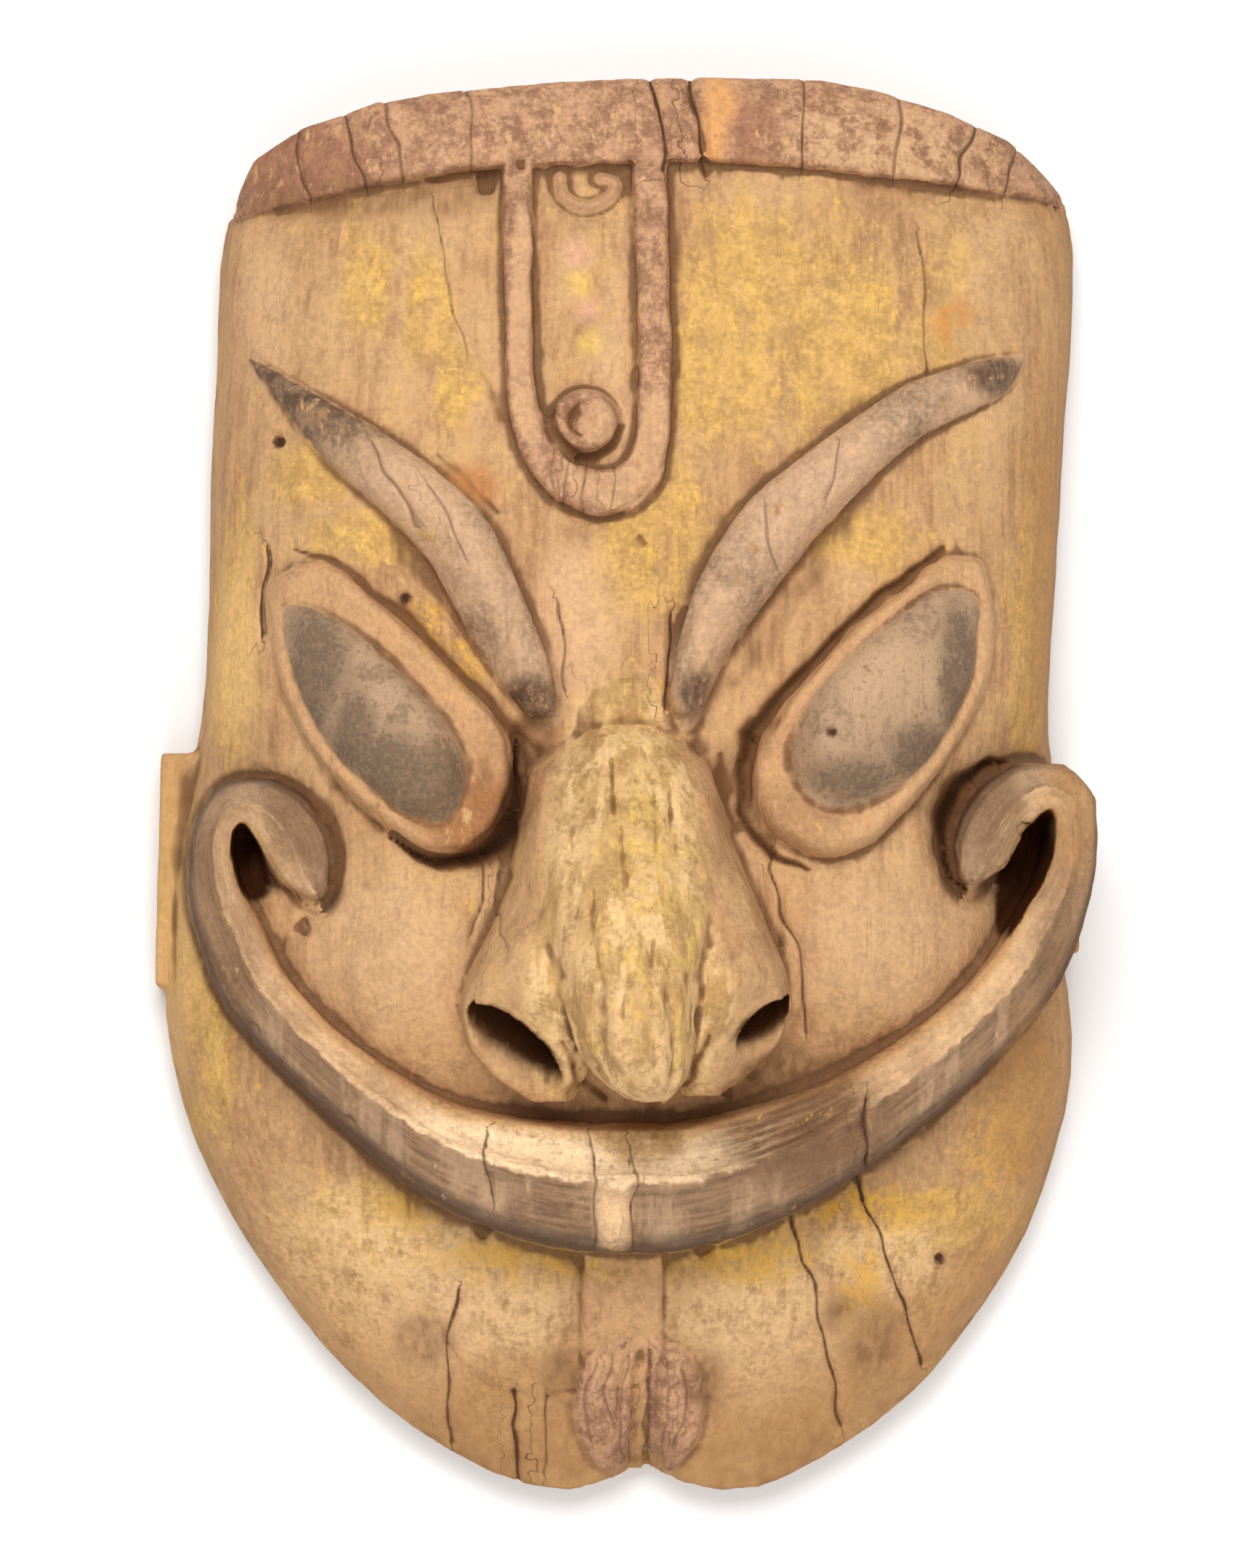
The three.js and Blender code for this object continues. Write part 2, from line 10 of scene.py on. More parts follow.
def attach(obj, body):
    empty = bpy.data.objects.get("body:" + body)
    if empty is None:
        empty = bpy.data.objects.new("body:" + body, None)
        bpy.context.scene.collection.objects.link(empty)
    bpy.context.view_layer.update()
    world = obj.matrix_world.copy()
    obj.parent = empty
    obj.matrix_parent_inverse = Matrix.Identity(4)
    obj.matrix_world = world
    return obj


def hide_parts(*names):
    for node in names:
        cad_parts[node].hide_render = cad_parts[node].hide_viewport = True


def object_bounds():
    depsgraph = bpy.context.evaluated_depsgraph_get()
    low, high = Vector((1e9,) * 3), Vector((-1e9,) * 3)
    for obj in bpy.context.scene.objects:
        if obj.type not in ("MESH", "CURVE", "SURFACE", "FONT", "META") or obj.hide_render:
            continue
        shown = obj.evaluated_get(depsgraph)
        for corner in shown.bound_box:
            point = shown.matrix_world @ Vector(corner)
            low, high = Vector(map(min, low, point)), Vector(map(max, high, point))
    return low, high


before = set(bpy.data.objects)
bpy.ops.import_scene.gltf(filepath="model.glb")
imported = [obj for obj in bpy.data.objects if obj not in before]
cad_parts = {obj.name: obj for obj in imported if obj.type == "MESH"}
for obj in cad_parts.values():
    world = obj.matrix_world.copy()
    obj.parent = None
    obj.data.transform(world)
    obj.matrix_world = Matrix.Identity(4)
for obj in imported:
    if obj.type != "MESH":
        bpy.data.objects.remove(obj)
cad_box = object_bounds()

# Camera
# The photographer stood a little to the left of the mask and a little below its middle.
# Here the mask lies on its back, so the camera looks straight down from that same direction.
MM = 0.001
YAW = math.radians(3.0)
PITCH = math.radians(2.0)
DISTANCE = 1.5
FRAME_HEIGHT = 0.3992
aim = Vector((-0.8, 0.9, 40.0)) * MM
backward = Vector((
    -math.sin(YAW) * math.cos(PITCH),
    -math.sin(PITCH),
    math.cos(YAW) * math.cos(PITCH),
))
rightward = Vector((0, 1, 0)).cross(backward).normalized()
upward = backward.cross(rightward)
camera_data = bpy.data.cameras.new("camera")
camera_data.sensor_fit = "VERTICAL"
camera_data.angle_y = 2 * math.atan(FRAME_HEIGHT / 2 / DISTANCE)
camera_data.clip_start = 0.1
camera_data.clip_end = 50
camera = bpy.data.objects.new("camera", camera_data)
bpy.context.collection.objects.link(camera)
turn = Matrix((rightward, upward, backward)).transposed().to_4x4()
camera.matrix_world = Matrix.Translation(aim + backward * DISTANCE) @ turn
bpy.context.scene.camera = camera

# Floor and light
# A plain white sweep with one large soft lamp beyond the crown, so that the nose and the
# moustache shade what lies below them, and a weaker one that opens the shadows from the chin.
bpy.ops.mesh.primitive_plane_add(size=8)
floor = bpy.context.object
floor.name = "floor"
floor_paint = bpy.data.materials.new("floor_paint")
floor_paint.use_nodes = True
floor_shader = floor_paint.node_tree.nodes["Principled BSDF"]
floor_shader.inputs["Base Color"].default_value = (0.95, 0.95, 0.95, 1)
floor_shader.inputs["Roughness"].default_value = 0.9
floor.data.materials.append(floor_paint)

LAMPS = {
    "key": {"at": (-0.15, 0.65, 1.5), "size": 0.8, "watts": 18.0},
    "fill": {"at": (0.2, -0.9, 1.5), "size": 1.4, "watts": 12.0},
}
for name, lamp in LAMPS.items():
    light = bpy.data.lights.new(name, "AREA")
    light.shape = "SQUARE"
    light.size = lamp["size"]
    light.energy = lamp["watts"]
    lamp_object = bpy.data.objects.new(name, light)
    bpy.context.collection.objects.link(lamp_object)
    lamp_object.location = lamp["at"]
    lamp_object.rotation_euler = (lamp_object.location - aim).to_track_quat("Z", "Y").to_euler()

world = bpy.data.worlds.new("studio")
world.use_nodes = True
world.node_tree.nodes["Background"].inputs["Color"].default_value = (1, 1, 1, 1)
world.node_tree.nodes["Background"].inputs["Strength"].default_value = 0.46
bpy.context.scene.world = world
bpy.context.scene.view_settings.view_transform = "Standard"

# Carved mask
# The real mask is one block of light wood, carved on the face with gouge and knife and hollowed out
# behind, with nothing fixed to it. Here the solid of the CAD model is its block: it is given a fine
# even skin, and its facets are worn smooth.
WELD = 0.02 * MM
SKIN_STEP = 0.95 * MM
mask = bpy.data.objects.new("carved_mask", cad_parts["mask"].data.copy())
bpy.context.collection.objects.link(mask)
bpy.ops.object.select_all(action="DESELECT")
mask.select_set(True)
bpy.context.view_layer.objects.active = mask
bpy.ops.object.mode_set(mode="EDIT")
bpy.ops.mesh.select_all(action="SELECT")
bpy.ops.mesh.remove_doubles(threshold=WELD)
bpy.ops.object.mode_set(mode="OBJECT")
skin = mask.modifiers.new("skin", "REMESH")
skin.mode = "VOXEL"
skin.voxel_size = SKIN_STEP
wear = mask.modifiers.new("wear", "SMOOTH")
wear.factor = 0.5
wear.iterations = 9
for modifier in ("skin", "wear"):
    bpy.ops.object.modifier_apply(modifier=modifier)

# The carver's lines
# The forms that stand up from the face: middle lines of the strips as x, y and half width, and
# outlines of the pads, all in millimetres and in the same places as on the block.
STRIPS = {
    "left_brow": (
        (-95, 108.5, 0.6), (-82, 95.5, 4.2), (-69, 84, 7), (-54, 72, 8.3), (-43, 60.5, 9.2),
        (-35, 45, 8.5), (-26.5, 28.5, 6.8), (-21.5, 17, 3.8),
    ),
    "right_brow": (
        (101.5, 109.5, 0.6), (94.5, 104.5, 4.6), (82.5, 99, 6.1), (71.5, 94, 6.8), (60.5, 86, 7.5),
        (49.5, 76.5, 8.4), (38, 66, 9.5), (29, 54, 9.5), (21.5, 41, 8), (16.5, 29.5, 6.4),
        (14.5, 17.5, 3.8),
    ),
    "moustache": (
        (-78.6, -26, 5), (-80.6, -20.5, 8), (-84, -12.6, 8.8), (-90.5, -6, 7), (-98.5, -4.2, 5.4),
        (-104, -11.5, 4.9), (-103.4, -27.6, 6.6), (-99.2, -38.4, 7.6), (-94.4, -49.6, 8),
        (-80.8, -65.5, 7.8), (-59.2, -83.5, 9.4), (-46.6, -91.5, 11.2), (-30.5, -97.3, 13.2),
        (-12.7, -100.7, 14.4), (1.6, -101.2, 14.8), (16, -100.4, 14.3), (36, -94.2, 13),
        (52.6, -86.4, 11.4), (71, -74.6, 9.8), (87.6, -61, 8.8), (100.4, -46.8, 8.8),
        (106.4, -35.6, 8.2), (110.8, -25.6, 6.6), (113, -14.8, 5.8), (111.8, -3.4, 6),
        (103.8, 0.2, 6.9), (96.4, -4.2, 7.6), (91.6, -10.6, 8), (88.8, -17, 7.6), (86.8, -22.4, 5.2),
    ),
    "pendant": (
        (-27.8, 156, 3.8), (-27.4, 114, 3.8), (-26.3, 94, 4.2), (-22.3, 82.5, 4.8), (-15, 74.8, 5.6),
        (-5.7, 72.4, 6.2), (1.8, 75.8, 5.6), (5.6, 85, 4.6), (6.7, 98, 4.4), (6.5, 124, 4.6),
        (5.8, 156, 4.8),
    ),
    "chin_strip": ((-0.5, -112, 10), (-0.5, -143, 10)),
    "left_tuft": ((1, -142.5, 3), (-3, -148, 6.6), (-4.4, -158, 7.8), (-3, -168, 6.4), (0.4, -175.5, 3.2)),
    "right_tuft": ((8, -142.5, 3), (12, -148, 6.4), (13.6, -158, 7.6), (12.8, -168, 6.2), (11, -175, 3.2)),
    "nose": (
        (-1, 14, 14), (-2, -4, 19), (-2, -21, 20.5), (-2.2, -38, 19), (-1.5, -55, 18), (0, -68, 16.5),
        (3, -78, 9),
    ),
}
PADS = {
    "left_lid": (
        (-88.4, 51.6), (-77.4, 55.6), (-66.5, 48.8), (-56.6, 40.7), (-47.8, 31.7), (-38.9, 22.7),
        (-31, 14.5), (-28, 5.2), (-28.7, -4), (-33, -12), (-38.6, -17.3), (-46, -19.1),
        (-53.7, -16.5), (-62.7, -9.7), (-71, -2), (-82.8, 15), (-88.7, 33.4),
    ),
    "left_eye": (
        (-86, 44.5), (-76.3, 42.5), (-64, 34), (-53.7, 24), (-44.9, 14), (-40.8, 5), (-41.7, -3.7),
        (-47.2, -10), (-55.3, -8.4), (-63.2, -2.7), (-73, 6.3), (-81, 19.7), (-85.2, 32),
    ),
    "right_lid": (
        (89.4, 57), (77.7, 57), (68, 49.3), (55.4, 38.3), (45.3, 28), (36.7, 18), (30.1, 6.6),
        (30.5, -2), (34.3, -11), (41, -16), (49.2, -18.4), (59.5, -15.5), (67, -9), (76.7, 1.2),
        (85.6, 14), (91, 25), (93.4, 37.7), (92.1, 50.3),
    ),
    "right_eye": (
        (87.7, 47.3), (88.2, 39), (87, 28), (82, 16.8), (74, 5), (65.3, -2), (56, -6), (46.6, -5.4),
        (40.6, 1.4), (40, 10.5), (45, 21.5), (54.6, 32), (67, 42.2), (79.3, 49),
    ),
    "panel": (
        (-24, 150), (-23.6, 114), (-22.2, 95), (-18.5, 86), (-12, 80.4), (-6, 78.6), (-1.5, 81),
        (1.2, 87), (2.2, 98), (2, 124), (1.2, 150),
    ),
}
BAND_EDGE = (
    (-104, 145.5), (-93.5, 146.8), (-82, 147.4), (-64, 151), (-45, 154.3), (-20, 156), (20, 157.4),
    (44, 156.2), (64, 154.2), (83, 152), (99, 151.3), (110, 151), (120, 150.4),
)
BOSS = (-11.3, 90.4)


def smooth_line(knots, steps, closed=False):
    """Points on a smooth curve through all the knots"""
    knots = np.array(knots, dtype=float)
    if closed:
        knots = np.vstack((knots[-1:], knots, knots[:2]))
    else:
        knots = np.vstack((2 * knots[0] - knots[1], knots, 2 * knots[-1] - knots[-2]))
    gaps = np.sqrt(np.linalg.norm(np.diff(knots[:, :2], axis=0), axis=1))[:, None]
    pace = np.diff(knots, axis=0) / gaps
    slope = pace[:-1] + pace[1:] - (knots[2:] - knots[:-2]) / (gaps[:-1] + gaps[1:])
    starts, ends, spans = knots[1:-2], knots[2:-1], gaps[1:-1]
    u = np.linspace(0, 1, steps, endpoint=False)[:, None, None]
    line = (
        (2 * u**3 - 3 * u**2 + 1) * starts
        + (u**3 - 2 * u**2 + u) * slope[:-1] * spans
        + (3 * u**2 - 2 * u**3) * ends
        + (u**3 - u**2) * slope[1:] * spans
    )
    line = line.transpose(1, 0, 2).reshape(-1, knots.shape[1])
    return np.vstack((line, knots[1:2] if closed else knots[-2:-1]))


def close_to(at, line, reach):
    """Which points lie within reach of the box around a line"""
    low = line[:, :2].min(axis=0) - reach
    high = line[:, :2].max(axis=0) + reach
    return np.flatnonzero(np.all((at[:, :2] > low) & (at[:, :2] < high), axis=1))


def beside(at, line, reach=9):
    """Signed distance from a line, half width there if the line has one, and distance along it"""
    found = np.zeros((len(at), 3))
    found[:, 0] = 99
    chosen = close_to(at, line, reach + line[:, 2:].max(initial=0))
    spots = at[chosen, :2]
    nearest = np.full(len(spots), np.inf)
    best = found[chosen]
    passed = 0.0
    for start, end in zip(line[:-1], line[1:]):
        run = end[:2] - start[:2]
        length = np.linalg.norm(run)
        away = spots - start[:2]
        share = np.clip(away @ run / length**2, 0, 1)
        gap = away - share[:, None] * run
        distance = np.hypot(gap[:, 0], gap[:, 1])
        closer = distance < nearest
        nearest[closer] = distance[closer]
        side = np.where(run[0] * away[:, 1] > run[1] * away[:, 0], 1, -1)
        width = start[2] + share * (end[2] - start[2]) if len(start) > 2 else 0 * share
        best[closer] = np.stack((side * distance, width, passed + share * length), axis=1)[closer]
        passed += length
    found[chosen] = best
    return found.T


def inside(at, outline):
    """How deep points lie inside a closed outline, below zero outside it"""
    depth = np.full(len(at), -99.0)
    chosen = close_to(at, outline, 9)
    spots = at[chosen, :2]
    nearest = np.full(len(spots), np.inf)
    crossed = np.zeros(len(spots), dtype=bool)
    for start, end in zip(outline[:-1], outline[1:]):
        run = end - start
        away = spots - start
        share = np.clip(away @ run / (run @ run), 0, 1)
        gap = away - share[:, None] * run
        nearest = np.minimum(nearest, np.hypot(gap[:, 0], gap[:, 1]))
        spans = (start[1] > spots[:, 1]) != (end[1] > spots[:, 1])
        crossed ^= spans & ((away[:, 0] * run[1] < away[:, 1] * run[0]) == (run[1] > 0))
    depth[chosen] = np.where(crossed, nearest, -nearest)
    return depth


def places(at):
    """Where points lie on the carving: depths inside the forms, and ways across and along strips"""
    found = {}
    for name, rows in STRIPS.items():
        offset, width, along = beside(at, smooth_line(rows, 6))
        found[name] = width - np.abs(offset)
        found[name + "_across"] = offset / np.maximum(width, 0.5)
        found[name + "_along"] = along
    for name, corners in PADS.items():
        found[name] = inside(at, smooth_line(corners, 4, closed=True))
    edge = smooth_line(BAND_EDGE, 6)
    found["band"] = at[:, 1] - np.interp(at[:, 0], edge[:, 0], edge[:, 1])
    for name in ("brow", "lid", "eye", "tuft"):
        found[name] = np.maximum(found["left_" + name], found["right_" + name])
    found["boss"] = 8.6 - np.hypot(at[:, 0] - BOSS[0], at[:, 1] - BOSS[1])
    return found


# Hewn and weathered surface
# The wood was cut with a gouge, dried, cracked along its grain and was bored by worms. Creases around
# the raised forms, furrows, cracks and holes are cut into the skin along its normals. The hollow
# behind gets gouge marks instead.
TRIANGLES = 196000
LARGEST_BULGE = 0.8
CRACKS = (
    # depth, half width, then points along the crack
    (1.6, 0.8, ((5.6, 181), (7.2, 172), (8.4, 164), (9.4, 155))),
    (2.6, 1.5, ((16.6, 181), (17.8, 170), (19.2, 155.2))),
    (1.0, 0.6, ((-84, 168), (-82.5, 157), (-80.5, 148.5))),
    (1.0, 0.7, ((-71.5, 172.5), (-69.5, 160), (-66.5, 151))),
    (0.8, 0.5, ((-60.5, 174), (-59, 163), (-57.5, 152.5))),
    (0.7, 0.5, ((-40.5, 177), (-39.8, 166), (-39.3, 155))),
    (0.9, 0.5, ((45, 180), (44.5, 168), (43.8, 156.5))),
    (0.8, 0.5, ((71, 176), (69, 164), (67.5, 154))),
    (1.1, 0.6, ((90, 171), (86.5, 160), (82.5, 152))),
    (0.9, 0.5, ((102, 166), (99, 158), (97, 151.5))),
    (1.3, 0.7, ((-91, 60), (-91.5, 50), (-90.6, 37))),
    (1.9, 0.8, ((58.6, -78), (58.8, -97), (60.5, -104))),
    (1.1, 0.6, ((60.5, -104), (67.8, -120.8), (78.2, -147.7))),
    (1.0, 0.6, ((42.3, -109.4), (51.7, -141.2), (57.1, -164.7))),
    (1.0, 0.6, ((-41.9, -128.1), (-44.8, -145), (-43.4, -168.4))),
    (0.6, 0.4, ((-20, 82), (-20.4, 77), (-19.6, 74))),
    (0.6, 0.4, ((-15.8, 79.5), (-16.2, 75), (-16, 70.5))),
    (0.7, 0.4, ((-11.2, 78.5), (-11.4, 74), (-11, 68.5))),
    (0.6, 0.4, ((-4.2, 78.5), (-3.8, 75.5), (-4.4, 70))),
    (0.8, 0.5, ((-64, 84), (-57, 71), (-52.5, 64))),
    (0.7, 0.5, ((-50, 74), (-44, 63.5), (-41.5, 56))),
    (0.7, 0.5, ((34, 69), (33.5, 60), (36, 54))),
    (0.7, 0.5, ((52, 85), (50, 77.5), (49.5, 71))),
    (1.0, 0.6, ((-34.5, -103), (-36.5, -95), (-35, -87))),
    (0.8, 0.5, ((-9.8, -114), (-9.6, -100), (-10, -88))),
    (0.8, 0.5, ((0, -115), (0.6, -101), (0.2, -90))),
    (1.4, 0.8, ((11.4, 43), (9.4, 32), (8.8, 20))),
    (0.8, 0.5, ((-17.5, 45), (-15.8, 34), (-16.6, 24))),
    (0.9, 0.6, ((35.6, -17), (36.8, -30), (41.6, -40), (43, -50), (44.6, -62))),
    (0.7, 0.5, ((-38.5, -15), (-36.5, -26), (-39, -38))),
    (0.6, 0.4, ((-32.5, -18), (-33.5, -30), (-31.8, -40))),
    (0.7, 0.5, ((74, 140), (75.5, 122), (74.6, 104))),
    (0.6, 0.4, ((-48, 148), (-46, 128), (-41.5, 108))),
    (0.7, 0.6, ((6.4, -144), (6, -158), (6.6, -171))),
    (0.6, 0.7, ((-7.4, -147), (-9.4, -157), (-8, -166))),
    (0.6, 0.6, ((-3.4, -145), (-4.2, -155), (-1.6, -164))),
    (0.5, 0.6, ((0.8, -146), (-0.4, -160), (1.6, -171))),
    (0.5, 0.6, ((11, -146), (11.6, -158), (11, -171))),
    (0.6, 0.7, ((15, -148), (16.4, -158), (14.6, -168))),
    (1.2, 0.8, ((-26.4, -155), (-27, -165), (-25.8, -178))),
    (0.8, 0.5, ((-19, -156), (-19.6, -166), (-19, -176))),
)
HOLES = (
    # x, y, radius, depth
    (-87.9, 86.7, 1.3, 2.2), (81.3, -120.4, 1.1, 2), (49.3, 12.3, 1.1, 1.6), (-56, 46.5, 1.3, 1.4),
)
GROOVES = (
    # depth, then x, y and half width of the dark gaps beside and between the forms; these gaps are cut in
    # and also painted dark as shade
    (2.4, ((-28.4, 10, 1.3), (-27.8, 1, 2.6), (-28.6, -6, 3.4), (-31.6, -13, 3.7),
           (-37, -17.6, 3.5), (-43.6, -19.8, 2.8), (-52, -18.4, 1.5), (-60, -13.8, 0.8))),
    (1.2, ((-84, 59, 0.7), (-76, 56.6, 0.9), (-66, 50, 1.3), (-56, 42.5, 1.9), (-47, 32.8, 1.3),
           (-37.6, 22.6, 1.5), (-29.6, 13.6, 2.2), (-24, 9, 1.2))),
    (1.8, ((80, 59.6, 0.7), (75, 57, 0.9), (68.8, 52, 1.3), (56, 41, 1.4), (45.4, 30.4, 1.7),
           (37.4, 21.4, 2.4), (31, 13, 2.8), (28.2, 4, 2.2), (28.4, -3.6, 1.9), (31, -12, 1.7),
           (36, -18, 1.5), (44, -21.5, 0.9))),
    (1.2, ((22.4, 8.4, 1.2), (23.9, 1.8, 1.5), (25.2, -4.6, 1.2), (28, -11, 1.6))),
    (2.4, ((97, 6.4, 1), (90, 5, 1.8), (83.4, 0.4, 2.9), (79.6, -7.4, 3.2), (79, -15, 2.8),
           (81, -22.6, 1.6), (85, -26.6, 1))),
    (1.0, ((-80.6, -4.6, 1), (-74.6, -13, 0.9), (-72.8, -19.6, 1), (-74.4, -26.4, 1.3), (-78.4, -30, 1))),
    (1.0, ((-24.3, 146, 0.7), (-24, 128, 0.9), (-23.8, 109, 1), (-22.8, 93, 1.2), (-20.6, 86, 1))),
    (1.0, ((10.2, 154.8, 1), (11, 138, 1), (11.2, 116, 1), (11.3, 100, 1.1), (10.4, 88, 1),
           (6.6, 77.6, 0.8), (-0.6, 69, 0.8), (-9.2, 66.4, 0.8), (-17, 69.8, 0.7))),
    (0.9, ((1.4, 105, 0.8), (1.2, 99.6, 1.4), (-1, 95.4, 1.2))),
    (1.2, ((-50, 153.2, 0.8), (-42, 153.8, 1.8), (-34, 154.6, 2.2), (-31, 156.4, 1))),
    (1.4, ((-17.4, -64, 1), (-15, -70, 1.5), (-11, -75.6, 1.7), (-6, -79.4, 1.2))),
    (1.4, ((18.2, -62.6, 1), (16.6, -69, 1.6), (13.8, -74.4, 1.6), (9.6, -78.6, 1))),
    (0.9, ((-48.4, 82.4, 0.7), (-42.6, 77.6, 1.7), (-37, 72.6, 1.3), (-33.4, 68.4, 0.7))),
    (1.1, ((14.2, 44.6, 0.8), (10.8, 34, 1.2), (9.4, 24.6, 1))),
    (0.7, ((-43.4, -141, 0.8), (-39, -148.4, 1.1), (-32, -153.6, 1.2), (-22, -156, 1.1),
           (-13, -155, 0.7))),
    (1.4, ((-19.6, 93, 0.8), (-19, 87, 1.2), (-15, 82.6, 1.4), (-9, 81.6, 1.4), (-4, 84.6, 1.2),
           (-2.4, 89, 0.8))),
    (1.6, ((-13.4, 95.6, 0.8), (-15.6, 92.6, 1.3), (-15.2, 88.6, 1.2), (-12.6, 86.4, 0.8))),
    (0.5, ((-60, 142, 1.5), (-56, 124, 2.6), (-49, 102, 2))),
    (0.6, ((-43, 124, 1.2), (-38.6, 108, 2.2), (-33, 91, 1.6))),
)
SLOTS = (
    # x, y and half width of the deep slots inside the two hooks
    ((-98.6, -10.6, 2.4), (-96.8, -17, 4.6), (-93.6, -25, 3.6)),
    ((103.4, -9, 3.6), (102, -18, 5.4), (99.4, -28, 5.2), (97.6, -35, 3.4)),
)
CHIPS = (
    # x, y, radius, depth
    (-36, 151.5, 3.4, 2.4), (-99, 150, 3.2, 2), (113, 151.5, 3, 2), (-27.5, 157, 2.6, 1.8),
    (-94, -62, 2.6, 1.6), (-14.8, -77, 2.4, 1.2), (25, -77, 2.6, 1.1), (31, -73, 2.2, 1),
    (-36.5, -112.5, 3, 1.6), (20, -117, 3.2, 1.6), (70, -89, 2.6, 1.6), (-70, -84, 2.4, 1.4),
    (-4, -183, 3, 1.8), (30, -183, 3.6, 1.8), (-81.5, -36, 3, 1.6), (100, -12, 3, 1.6),
    (3, 60.5, 2.5, 1),
)


def scatter(at, size, seed):
    """Smooth noise between -1 and 1 with lumps of the given size"""
    spot = at / np.asarray(size, dtype=float)
    cell = np.floor(spot).astype(np.int64)
    part = spot - cell
    part = part * part * (3 - 2 * part)
    total = np.zeros(len(at))
    for corner in itertools.product((0, 1), repeat=3):
        x, y, z = (cell + corner).T
        mixed = (x * 374761393 + y * 668265263 + z * 974634777 + seed * 1274126177) & 0xFFFFFFFF
        mixed = ((mixed ^ (mixed >> 13)) * 1103515245) & 0xFFFFFFFF
        mixed = ((mixed ^ (mixed >> 15)) * 12345677) & 0xFFFFFFFF
        value = ((mixed >> 8) & 0xFFFF) / 32767.5 - 1
        total += value * np.prod(np.where(corner, part, 1 - part), axis=1)
    return total


def ridge(distance, width):
    """A soft bump of unit height where the distance is zero"""
    return np.exp(-((distance / width) ** 2))


def step(value, low, high):
    """Rises smoothly from 0 to 1 between two values"""
    share = np.clip((value - low) / (high - low), 0, 1)
    return share * share * (3 - 2 * share)


def read_points(mesh, kind="co"):
    """All the points of a mesh, or their normals"""
    source = mesh.vertices if kind == "co" else mesh.vertex_normals
    values = np.empty(len(mesh.vertices) * 3)
    source.foreach_get(kind if kind == "co" else "vector", values)
    return values.reshape(-1, 3)


def behind(spots, facing):
    """1 in the hollow and under the rim, where a point has wood over it and none below"""
    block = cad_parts["mask"].data
    tree = BVHTree.FromPolygons(
        [vertex.co for vertex in block.vertices], [polygon.vertices for polygon in block.polygons]
    )
    up = Vector((0, 0, 1))
    covered = []
    for height, off_skin in zip(spots[:, 2], ((spots + 2 * facing) * MM).tolist()):
        over = height < 60 and tree.ray_cast(off_skin, up)[0] is not None
        covered.append(over and tree.ray_cast(off_skin, -up)[0] is None)
    return np.array(covered, dtype=float)


at = read_points(mask.data) / MM
normal = read_points(mask.data, "normal")
back = behind(at, normal)
lie = places(at)
x, y, z = at.T
front = 1 - back
across = lie["moustache_across"]
lip = step(lie["moustache"], -0.3, 0.6) * step(z, 52, 58)
lip_line = np.stack((lie["moustache_along"], lie["moustache_across"] * 12, 0 * x), axis=1)
nose = step(lie["nose"], -1, 3) * step(z, 74, 84)
tip = nose * step(-y, 48, 66)

# Uneven hewing, and furrows along the grain
cut = 0.75 * scatter(at, 26, 1) + 0.28 * scatter(at, 8, 2)
furrow = scatter(at, (1.9, 46, 1.9), 3) + 0.6 * scatter(at, (1.1, 28, 1.1), 4)
smooth_parts = np.clip(step(lie["eye"], 0, 2) + lip, 0, 1)
cut += (0.13 * furrow + 0.12 * scatter(at, 3.2, 5)) * (1 - 0.6 * smooth_parts)

# Creases around the raised forms, the fold over the left eye and the raised rims of the lids
for name, depth, width in (
    ("lid", 0.3, 1.3), ("eye", 0.8, 1.1), ("brow", 0.6, 1.2),
    ("pendant", 0.8, 1.0), ("band", 0.8, 1.0), ("boss", 1.0, 0.9), ("tuft", 0.5, 1.2),
    ("chin_strip", 0.5, 0.9),
):
    cut -= depth * ridge(lie[name] + 0.7, width) * (0.75 + 0.55 * scatter(at, 12, 6))
fold = smooth_line(((-82, 73), (-69, 61), (-57, 50.5), (-45, 38), (-35, 25), (-29, 16)), 6)
cut += 1.7 * ridge(beside(at, fold)[0], 2.4)
cut += 0.9 * ridge(lie["lid"] - 3.6, 2.2) * step(-lie["eye"], 0.8, 2.5)

# Moustache: a hollowed upper side, a ridge, an undercut lower side and the strands
cup = np.clip((across - 0.12) / 0.88, 0, 1)
cut -= lip * (0.7 + 2.1 * step(12 - np.abs(x) / 6, 0, 10)) * np.sin(np.pi * cup)
cut += lip * 0.9 * ridge(across - 0.1, 0.16)
cut -= lip * 1.2 * step(-across, 0.55, 1.05)
cut += lip * (0.26 * scatter(lip_line, (16, 0.9, 1), 7) + 0.16 * scatter(lip_line, (9, 0.5, 1), 8))
cut -= 0.9 * ridge(lie["moustache"] + 1.2, 1.8) * step(66 - z, 0, 6)

# Nose: rough skin, lumps at the tip, a soft start between the brows and folds that run down it
cut += nose * (0.55 * scatter(at, (5, 18, 6), 9) + 0.45 * scatter(at, (2.6, 4, 3), 10))
cut += tip * 0.8 * scatter(at, (4, 10, 4), 11)
cut += 1.2 * ridge(lie["nose"] + 0.6, 2.2) * step(y, 6, 16)
for fold_x, depth, seed in ((-11, 1.2, 12), (-3.5, 0.9, 22), (2.5, 0.8, 23), (9, 1.3, 24)):
    meander = x - fold_x - 3.6 * scatter(at, 17, seed)
    cut -= nose * depth * ridge(meander, 1.5) * step(scatter(at, (8, 13, 8), seed + 10), -0.35, 0.35)

